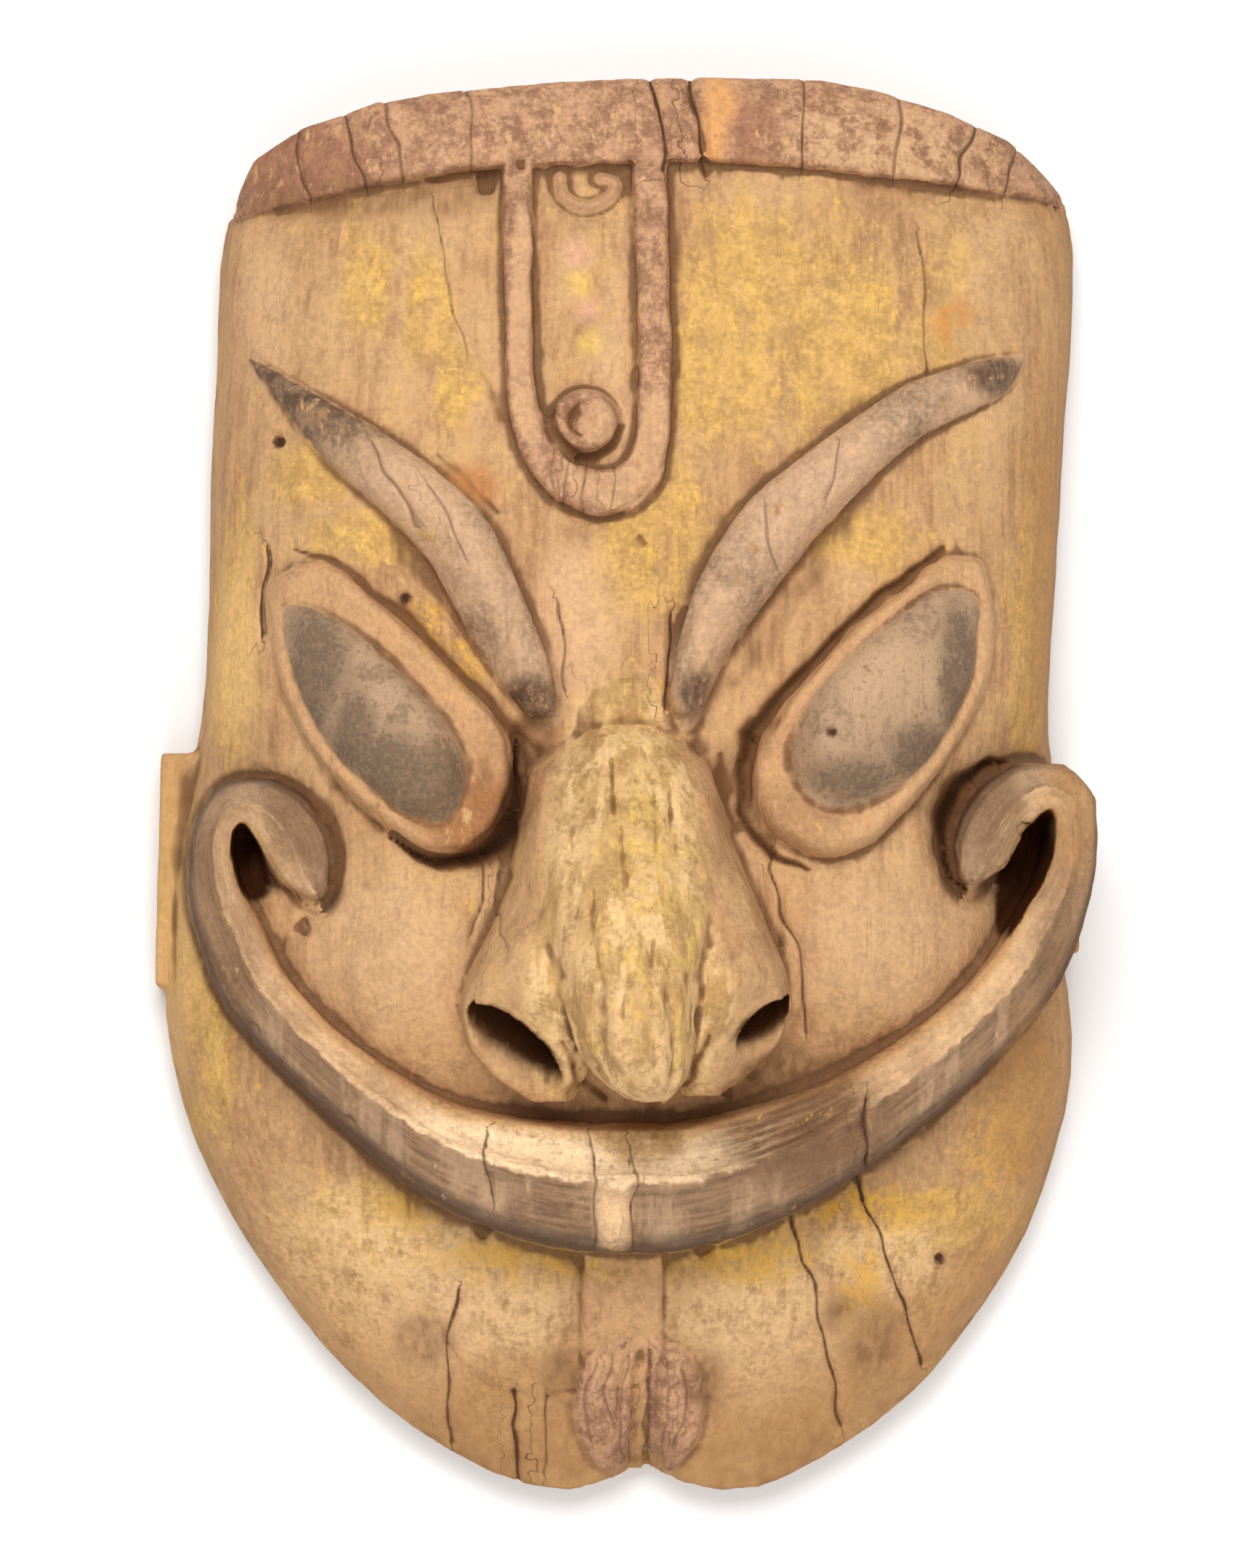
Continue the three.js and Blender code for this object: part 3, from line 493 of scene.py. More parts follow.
# Ground of the pendant, the boss with its crescent, and the small curl
panel = step(lie["panel"], 0, 5) * (1 - step(lie["boss"], -2, 1))
cut += panel * 1.1
spoke = np.hypot(x - BOSS[0], y - BOSS[1])
turn_angle = np.arctan2(y - BOSS[1], x - BOSS[0])
open_side = step(np.cos(turn_angle + 0.9), 0.55, 0.9)
cut += step(lie["boss"], 0, 1.5) * (1.4 * ridge(spoke - 5.6, 1.5) * (1 - open_side))
cut -= 2.6 * ridge(np.hypot(x - BOSS[0] + 1.9, y - BOSS[1] - 2.4), 2.3)
cut += 1.6 * ridge(np.hypot((x - BOSS[0] - 3.2) / 1.7, (y - BOSS[1] + 0.6) / 4.4), 1)
scroll = ((-17, 153.5), (-16, 148.5), (-11, 145.8), (-5.5, 147.6), (-3.2, 152), (-6.5, 153.4))
scroll = smooth_line(scroll, 6)
curl = np.abs(beside(at, scroll)[0])
cut += 1.5 * ridge(curl, 1.2) - 0.9 * ridge(curl - 2.4, 1.0)

# Hair of the two tufts and the wedge between them
for name in ("left_tuft", "right_tuft"):
    fibre = np.stack((lie[name + "_along"], lie[name + "_across"] * 4, 0 * x), axis=1)
    cut += step(lie[name], 0, 1) * 0.7 * scatter(fibre, (15, 1, 1), 14)
cut += 1.5 * ridge(x - 5.6, 2.6) * step(-y, 145, 150) * (1 - step(lie["tuft"], -0.4, 0.4))

# Cracks, worm holes, chips and dark gaps
wander = at + np.stack((1.3 * scatter(at, 7, 15), 1.3 * scatter(at, 7, 16), 0 * x), axis=1)
for depth, width, line in CRACKS:
    offset, _, _ = beside(wander, smooth_line(line, 5), reach=4)
    cut -= depth * ridge(offset, width) * (0.9 + 0.4 * scatter(at, 6, 17))
for hole_x, hole_y, radius, depth in HOLES:
    cut -= depth * step(radius + 0.6 - np.hypot(x - hole_x, y - hole_y), 0, 0.9)
ragged = 1.1 * scatter(at, 2.4, 18)
for chip_x, chip_y, radius, depth in CHIPS:
    cut -= depth * step(radius + ragged - np.hypot(x - chip_x, y - chip_y), 0, 1.6)
for depth, line in GROOVES:
    offset, width, _ = beside(wander, smooth_line(line, 5), reach=6)
    cut -= depth * ridge(offset, np.maximum(width, 0.4)) * (0.85 + 0.4 * scatter(at, 5, 25))

# Gouge marks behind
gouge = np.abs(np.sin(x / 6.5 + 1.4 * scatter(at, 30, 19)))
gouge = gouge + 0.5 * np.abs(np.sin(y / 14 + 2 * scatter(at, 20, 20)))
cut = front * cut + back * (0.9 * gouge - 1.0 + 0.3 * scatter(at, 9, 21))

# Less is cut on steep walls, nothing at the rim, and the corners that the skin rounded off come back
cut *= step(z, 0.6, 4) * (0.35 + 0.65 * step(normal[:, 2], 0, 0.5))
at = at + normal * cut[:, None]
at[:, 2] = np.where(z < 0.7, 0, at[:, 2])
for corner_x, corner_y, spread, out_x, out_y in (
    (106, 155, 20, 1.6, 1.0), (-94, 153, 18, -1.0, 0.3), (116, 5, 6, 1.4, 0.2),
):
    let_out = ridge(x - corner_x, spread) * ridge(y - corner_y, spread)
    at[:, 0] += out_x * let_out
    at[:, 1] += out_y * let_out
at[:, 1] += step(y, 150, 165) * np.interp(x, (-80, -30, 10, 50), (0.15, 0.1, 0, 0.6))
box = np.array([list(corner) for corner in cad_box]) / MM
at = np.clip(at, box[0] - LARGEST_BULGE, box[1] + LARGEST_BULGE)
mask.data.vertices.foreach_set("co", (at * MM).ravel())
mask.data.update()
triangles = sum(len(polygon.vertices) - 2 for polygon in mask.data.polygons)
thin = mask.modifiers.new("thin", "DECIMATE")
thin.ratio = TRIANGLES / triangles
bpy.ops.object.modifier_apply(modifier="thin")
for polygon in mask.data.polygons:
    polygon.use_smooth = True

# Marks for the paint
# Paint, dirt and painted shade follow the carving. So each point keeps how deep it lies inside each carved
# form, in millimetres, how near a crack it is, and how hollow its surroundings are.
NOSTRILS = (
    # middle of the opening, the way in, its long and its short direction, and half its length and width
    ((-29.5, -66.3, 83.4), (0.2, 0.75, -0.6), (0.72, -0.66, -0.27), (0.64, 0.46, 0.61), 17.5, 8),
    ((33, -61.5, 84.7), (-0.2, 0.75, -0.6), (0.7, 0.7, 0.15), (-0.6, 0.45, 0.66), 11, 7),
)
at = read_points(mask.data) / MM
normal = read_points(mask.data, "normal")
back = behind(at, normal)
lie = places(at)
x, y, z = at.T


def hollowness(mesh, spots, facing, rounds):
    """How far the surface lies under the middle of its surroundings"""
    ends = np.empty(len(mesh.edges) * 2, dtype=np.int32)
    mesh.edges.foreach_get("vertices", ends)
    first, second = ends.reshape(-1, 2).T
    count = np.bincount(first, minlength=len(spots)) + np.bincount(second, minlength=len(spots))
    around = spots.copy()
    for _ in range(rounds):
        total = np.stack([
            np.bincount(first, around[second, axis], len(spots))
            + np.bincount(second, around[first, axis], len(spots))
            for axis in range(3)
        ], axis=1)
        around = 0.4 * around + 0.6 * total / count[:, None]
    return np.sum((around - spots) * facing, axis=1)


wander = at + np.stack((1.3 * scatter(at, 7, 15), 1.3 * scatter(at, 7, 16), 0 * x), axis=1)
crack_side = np.full(len(at), 9.0)
crack_reach = np.zeros(len(at))
for depth, width, line in CRACKS:
    offset, _, _ = beside(wander, smooth_line(line, 5), reach=4)
    closer = np.abs(offset) < np.abs(crack_side)
    crack_side[closer] = offset[closer]
    crack_reach[closer] = depth
hole = np.zeros(len(at))
for hole_x, hole_y, radius, depth in HOLES:
    hole = np.maximum(hole, step(radius + 0.5 - np.hypot(x - hole_x, y - hole_y), 0, 0.7))
# Insides of the slots in the hooks and of the nostrils, with the slot walls: where near black is painted as
# shade
bore = np.zeros(len(at))
for line in SLOTS:
    offset, width, _ = beside(at, smooth_line(line, 5), reach=8)
    walls = np.maximum(1 - step(z, 52, 60), 1 - step(normal[:, 2], 0.45, 0.75))
    bore = np.maximum(bore, step(width + 1.4 - np.abs(offset), 0, 1.6) * walls)
for start, run, long_way, short_way, half_length, half_width in NOSTRILS:
    arm = at - start
    depth = arm @ np.array(run)
    arm = arm - depth[:, None] * np.array(run)
    inward = -np.sum(arm * normal, axis=1) / np.maximum(np.linalg.norm(arm, axis=1), 0.1)
    reach = np.hypot(arm @ np.array(long_way) / half_length, arm @ np.array(short_way) / half_width)
    within = (1 - step(reach, 1.0, 1.25)) * step(40 - depth, 0, 6) * step(inward, -0.2, 0.25)
    bore = np.maximum(bore, within * step(depth + 0.4 * (arm @ np.array(short_way)), -1, 3.5))
gap = np.zeros(len(at))
for depth, line in GROOVES:
    offset, width, _ = beside(wander, smooth_line(line, 5), reach=6)
    strength = min(1, depth / 2.2) * np.minimum(width / 0.9, 1)
    gap = np.maximum(gap, strength * ridge(offset, np.maximum(width, 0.9)))

marks = {
    "brow": lie["brow"],
    "lid": lie["lid"],
    "eye": lie["eye"],
    "moustache": np.minimum(lie["moustache"], (z - 52) / 2),
    "lip_across": lie["moustache_across"],
    "lip_along": lie["moustache_along"],
    "pendant": lie["pendant"],
    "boss": lie["boss"],
    "band": np.minimum(lie["band"], (z - 8) / 3),
    "tuft": np.minimum(lie["tuft"], (z - 16) / 2),
    "chin_strip": np.minimum(lie["chin_strip"], -lie["moustache"] + 2),
    "nose": np.minimum(lie["nose"] + 8 * step(-y, 25, 55), (z - 66) / 2),
    "crack_side": crack_side,
    "crack_reach": crack_reach,
    "hole": hole,
    "fold": 3 - np.abs(beside(at, fold)[0]),
    "curl": 1.2 - np.abs(beside(at, scroll)[0]),
    "bore": bore,
    "gap": gap,
    "foot": lie["moustache"],
    "back": back * (1 - bore) * step(112 - np.abs(x), 0, 6),
    "hollow_fine": hollowness(mask.data, at, normal, 4),
    "hollow_broad": hollowness(mask.data, at, normal, 45),
}


def keep_mark(name, values):
    """Stores one number for each point of the carved mesh"""
    attribute = mask.data.attributes.new(name, "FLOAT", "POINT")
    attribute.data.foreach_set("value", np.asarray(values, dtype=np.float32))


for name, values in marks.items():
    keep_mark(name, values)

# Weathered paint
# The mask was painted thinly and has worn for long: bare wood with its grain, an ochre wash that has
# worn through in patches, pinkish brown on band, pendant and tufts, grey on brows, eyes and the lower
# side of the moustache, and dirt where nothing rubs it off. Shade is painted too: dark in creases, gaps,
# openings and along the low edges, with painted highlights on the boss and the moustache's upper side.
paint = bpy.data.materials.new("weathered_paint")
paint.use_nodes = True


def add(tree, kind, inputs=None, **settings):
    """A node with its settings; each input is a value or another node's socket"""
    made = tree.nodes.new("ShaderNode" + kind)
    for name, value in settings.items():
        setattr(made, name, value)
    for name, value in (inputs or {}).items():
        if isinstance(value, bpy.types.NodeSocket):
            tree.links.new(value, made.inputs[name])
        else:
            made.inputs[name].default_value = value
    return made


def calc(tree, operation, *values):
    """The result of one sum"""
    return add(tree, "Math", dict(enumerate(values)), operation=operation).outputs[0]


def fade(tree, value, low, high, bottom=0.0, top=1.0):
    """Rises smoothly from bottom to top as the value goes from low to high"""
    inputs = {"Value": value, "From Min": low, "From Max": high, "To Min": bottom, "To Max": top}
    return add(tree, "MapRange", inputs, interpolation_type="SMOOTHSTEP").outputs["Result"]


def blend(tree, share, under, over, mode="MIX"):
    """A colour with a share of another laid over it"""
    made = add(tree, "Mix", data_type="RGBA", blend_type=mode)
    for socket, value in zip((made.inputs[0], made.inputs[6], made.inputs[7]), (share, under, over)):
        if isinstance(value, bpy.types.NodeSocket):
            tree.links.new(value, socket)
        else:
            socket.default_value = (*value, 1) if isinstance(value, tuple) else value
    return made.outputs[2]


def noise(tree, place, size, detail=4.0, roughness=0.6, stretch=(1, 1, 1)):
    """Noise whose lumps measure about the given size in millimetres, longer along a stretched axis"""
    scale = [1 / (size * s) for s in stretch]
    spread = add(tree, "VectorMath", {0: place, 1: scale}, operation="MULTIPLY").outputs[0]
    inputs = {"Vector": spread, "Scale": 1.0, "Detail": detail, "Roughness": roughness}
    return add(tree, "TexNoise", inputs).outputs[0]


def group(name, inputs, outputs):
    """An empty node group with its sockets, and the sockets to build it between"""
    tree = bpy.data.node_groups.new(name, "ShaderNodeTree")
    for socket, (kind, value) in inputs.items():
        made = tree.interface.new_socket(socket, in_out="INPUT", socket_type="NodeSocket" + kind)
        if value is not None:
            made.default_value = value
    for socket, kind in outputs.items():
        tree.interface.new_socket(socket, in_out="OUTPUT", socket_type="NodeSocket" + kind)
    source = tree.nodes.new("NodeGroupInput").outputs
    target = tree.nodes.new("NodeGroupOutput").inputs
    return tree, source, target


def use(tree, effect, **inputs):
    """One use of a node group, and what it puts out"""
    made = add(tree, "Group", node_tree=effect)
    for name, value in inputs.items():
        if isinstance(value, bpy.types.NodeSocket):
            tree.links.new(value, made.inputs[name])
        else:
            made.inputs[name].default_value = value
    return made.outputs[0]


# A painted zone whose rim wanders and whose coat has flaked off in spots
worn_coat, given, result = group(
    "worn_coat",
    {"Lumps": ("Float", 0.5), "Spots": ("Float", 0.5), "Depth": ("Float", 0.0),
     "Wander": ("Float", 1.0), "Flaking": ("Float", 0.4)},
    {"Mask": "Float"},
)
rim = calc(worn_coat, "MULTIPLY_ADD", given["Lumps"], 2.0, -1.0)
rim = calc(worn_coat, "MULTIPLY_ADD", rim, given["Wander"], given["Depth"])
covered = fade(worn_coat, rim, -0.4, 0.5)
threshold = calc(worn_coat, "MULTIPLY_ADD", given["Flaking"], -0.42, 0.72)
kept = calc(worn_coat, "SUBTRACT", threshold, given["Spots"])
kept = fade(worn_coat, kept, -0.05, 0.06)
worn_coat.links.new(calc(worn_coat, "MULTIPLY", covered, kept), result["Mask"])

# Fine dark lines of the dried wood, running along the grain with short breaks across it
fine_cracks, given, result = group(
    "fine_cracks",
    {"Place": ("Vector", None), "Size": ("Float", 14.0), "Width": ("Float", 0.03)},
    {"Mask": "Float"},
)
shift = add(fine_cracks, "TexNoise", {"Vector": given["Place"], "Scale": 0.16, "Detail": 2.0}).outputs[1]
bent = add(fine_cracks, "VectorMath", {0: shift, 1: (5, 3, 5)}, operation="MULTIPLY").outputs[0]
bent = add(fine_cracks, "VectorMath", {0: bent, 1: given["Place"]}, operation="ADD").outputs[0]
bent = add(fine_cracks, "VectorMath", {0: bent, 1: (1, 0.2, 1)}, operation="MULTIPLY").outputs[0]
scale = calc(fine_cracks, "DIVIDE", 1.0, given["Size"])
cells = {"Vector": bent, "Scale": scale, "Randomness": 1.0}
cells = add(fine_cracks, "TexVoronoi", cells, feature="DISTANCE_TO_EDGE").outputs["Distance"]
line = calc(fine_cracks, "SUBTRACT", 1.0, fade(fine_cracks, cells, 0.0, given["Width"]))
gate = fade(fine_cracks, noise(fine_cracks, given["Place"], 17), 0.55, 0.68)
fine_cracks.links.new(calc(fine_cracks, "MULTIPLY", line, gate), result["Mask"])

tree = paint.node_tree
shader = tree.nodes["Principled BSDF"]
place = add(tree, "TexCoord").outputs["Object"]
place = add(tree, "VectorMath", {0: place, "Scale": 1 / MM}, operation="SCALE").outputs[0]
side = add(tree, "SeparateXYZ", {0: place}).outputs
mark = {name: add(tree, "Attribute", attribute_name=name).outputs["Fac"] for name in marks}
uneven = 0.5 * scatter(at, 17, 31) + 0.3 * scatter(at, 8, 32) + 0.2 * scatter(at, 3.5, 33)


def area(name, *spots, sway=0.35):
    """A painted area: 1 around each of its spots, fading to 0 at their reach on each axis"""
    share = np.zeros(len(at))
    for spot_x, spot_y, reach_x, reach_y in spots:
        away = np.hypot((x - spot_x) / reach_x, (y - spot_y) / reach_y) + sway * uneven
        share = np.maximum(share, 1 - step(away, 0.35, 1.0))
    keep_mark(name, share)
    return add(tree, "Attribute", attribute_name=name).outputs["Fac"]


def most(*values):
    """The largest of some values"""
    found = values[0]
    for value in values[1:]:
        found = calc(tree, "MAXIMUM", found, value)
    return found


def coated(depth, wander, flaking):
    """Where a zone of the mask still has its coat of paint"""
    return use(tree, worn_coat, Lumps=lumps, Spots=spots, Depth=depth, Wander=wander, Flaking=flaking)


# Noise of every size that the paint needs, from broad clouds to specks
broad = noise(tree, place, 17, 5, 0.62)
patches = noise(tree, place, 26, 6, 0.66, (1, 1.9, 1))
mottle = noise(tree, place, 6, 6, 0.72)
speck = noise(tree, place, 1.5, 3, 0.7)
grain = noise(tree, place, 1.15, 4, 0.62, (1, 26, 1))
streaks = noise(tree, place, 2.8, 5, 0.66, (1, 12, 1))
sweeps = noise(tree, place, 7, 4, 0.6, (1, 6, 1))
lumps = noise(tree, place, 5, 3)
spots = noise(tree, place, 3.2, 6, 0.72, (1, 2.2, 1))

# Bare wood and the wash over it
wood = blend(tree, fade(tree, streaks, 0.3, 0.7), (0.38, 0.195, 0.088), (0.57, 0.325, 0.15))
wood = blend(tree, fade(tree, patches, 0.42, 0.62, 0.0, 0.75), wood, (0.61, 0.365, 0.175))
yellowing = area(
    "yellowing",
    (40, 115, 62, 45), (-66, 130, 9, 25), (-50, 117, 10, 22), (-43, 101, 9, 16),
    (-80, 80, 16, 12), (-99, 40, 9, 52), (6, 62, 24, 34), (104, 38, 12, 60), (-60, 61, 24, 11),
    (58, 63, 30, 13), (-104, -62, 14, 44), (-2, -118, 78, 13), (-62, -112, 34, 26),
    (85, -110, 34, 16), (2, -20, 15, 60),
)
broken = calc(tree, "MULTIPLY_ADD", mottle, 0.5, calc(tree, "MULTIPLY", streaks, 0.5))
swept = calc(tree, "MULTIPLY_ADD", streaks, 0.2, calc(tree, "MULTIPLY", sweeps, 0.35))
swept = calc(tree, "MULTIPLY_ADD", patches, 0.3, swept)
swept = calc(tree, "MULTIPLY_ADD", mottle, 0.15, swept)
broken_light = fade(tree, broken, 0.36, 0.56)
wash = calc(tree, "MULTIPLY_ADD", yellowing, 0.17, swept)
wash_tone = blend(tree, fade(tree, mottle, 0.35, 0.7), (0.52, 0.295, 0.08), (0.66, 0.405, 0.115))
skin_tone = blend(tree, fade(tree, wash, 0.52, 0.72, 0.0, 0.85), wood, wash_tone)
cream = calc(tree, "MULTIPLY", area("cream", (-62, -42, 30, 26), (66, -40, 30, 26), (0, 105, 12, 40)), 0.6)
skin_tone = blend(tree, cream, skin_tone, (0.63, 0.38, 0.2))
pale_sides = calc(tree, "MULTIPLY", area("pale_sides", (-116, -30, 13, 62), (-98, 34, 9, 32)), 0.8)
skin_tone = blend(tree, pale_sides, skin_tone, (0.75, 0.45, 0.17))
pale = area(
    "pale_chin",
    (-62, -122, 44, 34), (-34, -130, 28, 26), (34, -136, 34, 26), (66, -120, 24, 14),
)
pale = calc(tree, "MULTIPLY", pale, 0.95)
skin_tone = blend(tree, calc(tree, "MULTIPLY", pale, broken_light), skin_tone, (0.78, 0.50, 0.25))
pink = area(
    "pink",
    (-50, -140, 20, 26), (36, -148, 30, 20), (-92, 125, 10, 28), (-14, 40, 14, 30),
)
skin_tone = blend(tree, calc(tree, "MULTIPLY", pink, 0.5), skin_tone, (0.72, 0.44, 0.24))
golden = area(
    "golden",
    (-27, -119, 25, 10), (28, -119, 26, 10), (-52, -105, 20, 9), (60, -106, 30, 9),
    (96, -92, 14, 16), (60, -128, 9, 16), (-52, 39, 9, 10), (-43, 28, 8, 11),
)
golden = calc(tree, "MULTIPLY", golden, fade(tree, mottle, 0.38, 0.56))
skin_tone = blend(tree, calc(tree, "MULTIPLY", golden, 0.75), skin_tone, (0.66, 0.355, 0.05))

# Pinkish brown on the band, the pendant and the tufts
brown = blend(tree, fade(tree, mottle, 0.35, 0.66), (0.31, 0.15, 0.08), (0.53, 0.29, 0.165))
brown = blend(tree, fade(tree, speck, 0.55, 0.75, 0, 0.35), brown, (0.60, 0.37, 0.25))
dark_ends = calc(tree, "MULTIPLY", area("dark_ends", (-88, 158, 34, 18), (32, 166, 9, 16)), 0.75)
brown = blend(tree, dark_ends, brown, (0.30, 0.125, 0.07))
light_end = area("light_end", (66, 162, 34, 16))
light_end = calc(tree, "MULTIPLY", light_end, fade(tree, mottle, 0.4, 0.6, 0, 0.8))
brown = blend(tree, light_end, brown, (0.58, 0.35, 0.18))
strand_dark = calc(tree, "MULTIPLY", fade(tree, streaks, 0.42, 0.6, 0, 0.28), fade(tree, mark["tuft"], 0, 1))
brown = blend(tree, strand_dark, brown, (0.21, 0.092, 0.062))
raised = most(mark["band"], mark["pendant"], mark["tuft"], calc(tree, "SUBTRACT", mark["boss"], 0.5))
coat = coated(raised, 0.9, 0.28)
tone = blend(tree, coat, skin_tone, brown)
strip_coat = coated(mark["chin_strip"], 1.2, 0.4)
tone = blend(tree, calc(tree, "MULTIPLY", strip_coat, 0.75), tone, (0.65, 0.36, 0.18))
pendant_light = area("pendant_light", (-25, 112, 9, 44), (0, 82, 26, 20))
pendant_light = calc(tree, "MULTIPLY", pendant_light, mark["pendant"])
# A painted highlight on the lit ridge of the boss
pendant_light = most(pendant_light, calc(tree, "MULTIPLY", area("boss_highlight", (-6, 89, 9, 9)), mark["boss"]))
pendant_light = fade(tree, pendant_light, 0.2, 1.2, 0, 0.75)
tone = blend(tree, pendant_light, tone, (0.60, 0.345, 0.18))
orange = calc(tree, "MULTIPLY", area("orange", (23.5, 173, 6, 12), (21.5, 164, 4.5, 11), sway=0.2), 0.85)
orange = calc(tree, "MULTIPLY", orange, fade(tree, mark["band"], 0, 1))
tone = blend(tree, orange, tone, (0.70, 0.34, 0.12))

# Lids and the moustache's upper side in bare pinkish wood, with painted shade at the lids and a painted
# highlight on the moustache
fold_coat = coated(mark["fold"], 3.0, 0.75)
tone = blend(tree, calc(tree, "MULTIPLY", fold_coat, 0.8), tone, (0.74, 0.47, 0.15))
curl_coat = fade(tree, calc(tree, "MULTIPLY_ADD", mottle, 1.6, mark["curl"]), 0.5, 1.2)
tone = blend(tree, calc(tree, "MULTIPLY", curl_coat, 0.7), tone, (0.50, 0.27, 0.15))
daubs = area("daubs", (-12.8, 133.5, 6, 5.4), (-10.4, 119.5, 5.4, 5), sway=0.2)
tone = blend(tree, calc(tree, "MULTIPLY", daubs, 0.75), tone, (0.66, 0.36, 0.22))
dabs = area("dabs", (-12, 126.4, 5.6, 4.4), (-9.8, 111, 4.4, 4.2), (-55.5, 1, 4, 5), sway=0.2)
tone = blend(tree, calc(tree, "MULTIPLY", dabs, 0.8), tone, (0.74, 0.47, 0.12))
lid_coat = coated(mark["lid"], 0.8, 0.3)
tone = blend(tree, calc(tree, "MULTIPLY", lid_coat, 0.7), tone, (0.58, 0.325, 0.16))
# Darker orange-brown at the lids' ends by the nose: partly their own tone, partly painted shade
shaded_lid_ends = calc(tree, "MULTIPLY", area("shaded_lid_ends", (-40, -9, 18, 16), (42, -8, 17, 14)), lid_coat)
lid_dark = blend(tree, fade(tree, side["X"], 0, 10), (0.34, 0.145, 0.055), (0.42, 0.225, 0.105))
tone = blend(tree, calc(tree, "MULTIPLY", shaded_lid_ends, 0.9), tone, lid_dark)
lid_shade = area("lid_shade", (-36, -8, 12, 19), sway=0.2)
lid_shade = calc(tree, "MULTIPLY", lid_shade, fade(tree, mark["lid"], 4.2, 1.2))
tone = blend(tree, calc(tree, "MULTIPLY", lid_shade, 0.85), tone, (0.1, 0.04, 0.016))
lip_coat = fade(tree, calc(tree, "MULTIPLY_ADD", mottle, 1.6, mark["moustache"]), 0.7, 2.0)
lip_tone = blend(tree, fade(tree, broad, 0.35, 0.65), (0.50, 0.30, 0.155), (0.72, 0.46, 0.25))
upper_side = fade(tree, calc(tree, "MULTIPLY_ADD", mottle, 0.5, mark["lip_across"]), 0.1, 0.5)
# The upper side of the moustache painted light: its cream wood and a painted highlight under the nose
upper_facet_highlight = calc(tree, "MULTIPLY", area("upper_facet_highlight", (-30, -92, 56, 20), (12, -90, 40, 13)), upper_side)
upper_facet_highlight = calc(tree, "MULTIPLY", upper_facet_highlight, fade(tree, broken, 0.3, 0.52))
lip_tone = blend(tree, upper_facet_highlight, lip_tone, (0.95, 0.70, 0.42))
# Ochre brown towards the top edge of the moustache's upper side: painted shade below the nose, in an ochre
# tone
ochre_rim_shade = fade(tree, calc(tree, "MULTIPLY_ADD", broad, 0.6, mark["lip_across"]), 0.95, 1.3, 0, 0.75)
lip_tone = blend(tree, ochre_rim_shade, lip_tone, (0.46, 0.235, 0.075))
tone = blend(tree, lip_coat, tone, lip_tone)

# Grey paint
grey = blend(tree, fade(tree, mottle, 0.3, 0.68), (0.245, 0.15, 0.088), (0.445, 0.285, 0.172))
grey = blend(tree, fade(tree, speck, 0.5, 0.78, 0, 0.5), grey, (0.55, 0.38, 0.27))
brow_tone = blend(tree, fade(tree, patches, 0.4, 0.6), grey, (0.56, 0.345, 0.20))
brow_light = calc(tree, "MULTIPLY", area("brow_light", (46, 72, 40, 30)), 0.8)
brow_tone = blend(tree, brow_light, brow_tone, (0.59, 0.37, 0.22))
brow_tips = area(
    "brow_tips",
    (-84, 97, 40, 24), (-24.5, 21, 8, 8), (16.5, 22, 7, 9), (95, 104, 14, 8),
)
brow_tips = calc(tree, "MULTIPLY", brow_tips, fade(tree, broken, 0.4, 0.64, 1.0, 0.6))
brow_tone = blend(tree, brow_tips, brow_tone, (0.115, 0.06, 0.034))
brow_coat = coated(mark["brow"], 1.0, 0.25)
tone = blend(tree, brow_coat, tone, brow_tone)
lower = calc(tree, "MULTIPLY_ADD", mark["lip_across"], -9.0, 1.2)
lower = calc(tree, "MINIMUM", lower, calc(tree, "ADD", mark["moustache"], 1.5))
across = calc(tree, "MULTIPLY", mark["lip_across"], 12.0)
strands = add(tree, "CombineXYZ", {0: mark["lip_along"], 1: across}).outputs[0]
fibres = noise(tree, strands, 1.2, 4, 0.65, (14, 1, 1))
lip_grey = blend(tree, fade(tree, fibres, 0.34, 0.64), (0.175, 0.096, 0.05), (0.35, 0.2, 0.105))
lip_grey = blend(tree, fade(tree, mottle, 0.42, 0.58, 0, 0.6), lip_grey, (0.20, 0.12, 0.075))
lip_grey = blend(tree, fade(tree, sweeps, 0.5, 0.62, 0, 0.55), lip_grey, (0.44, 0.28, 0.165))
lip_grey = blend(tree, fade(tree, patches, 0.48, 0.62, 0, 0.6), lip_grey, (0.46, 0.29, 0.165))
# The grey darkens towards the moustache's lower edge, where it turns under: painted shade
under = calc(tree, "MULTIPLY_ADD", mottle, 0.5, calc(tree, "MULTIPLY", mark["lip_across"], -1.0))
lip_grey = blend(tree, fade(tree, under, 0.85, 1.2, 0, 0.75), lip_grey, (0.09, 0.05, 0.032))
lower_coat = coated(lower, 1.5, 0.08)
bare_gap = calc(tree, "SUBTRACT", 1.0, area("bare_gap", (-4.6, -101, 6, 30), sway=0.05))
lower_coat = calc(tree, "MULTIPLY", lower_coat, bare_gap)
tone = blend(tree, lower_coat, tone, lip_grey)
strands_up = calc(tree, "MULTIPLY", area("strands_up", (-100, -30, 14, 42), (108, -30, 14, 40)), 0.5)
lobes = calc(tree, "MULTIPLY", area("lobes", (93, -12, 14, 20), (-82, -12, 16, 22)), 0.75)
grime = most(area("grime", (40, -84, 34, 21), sway=0.25), lobes, strands_up)
grime = calc(tree, "MULTIPLY", grime, lip_coat)
grime = calc(tree, "MULTIPLY", grime, fade(tree, fibres, 0.3, 0.6, 0.6, 1.0))
tone = blend(tree, grime, tone, (0.18, 0.092, 0.045))
# A painted shadow along the foot of the moustache's lower side, on the chin below it
foot = calc(tree, "ABSOLUTE", calc(tree, "ADD", mark["foot"], 0.9))
foot = calc(tree, "MULTIPLY", fade(tree, foot, 2.6, 0.5), fade(tree, mark["lip_across"], 0.1, -0.4))
foot = calc(tree, "MULTIPLY", foot, fade(tree, mottle, 0.3, 0.6, 0.5, 0.95))
tone = blend(tree, foot, tone, (0.10, 0.043, 0.018))

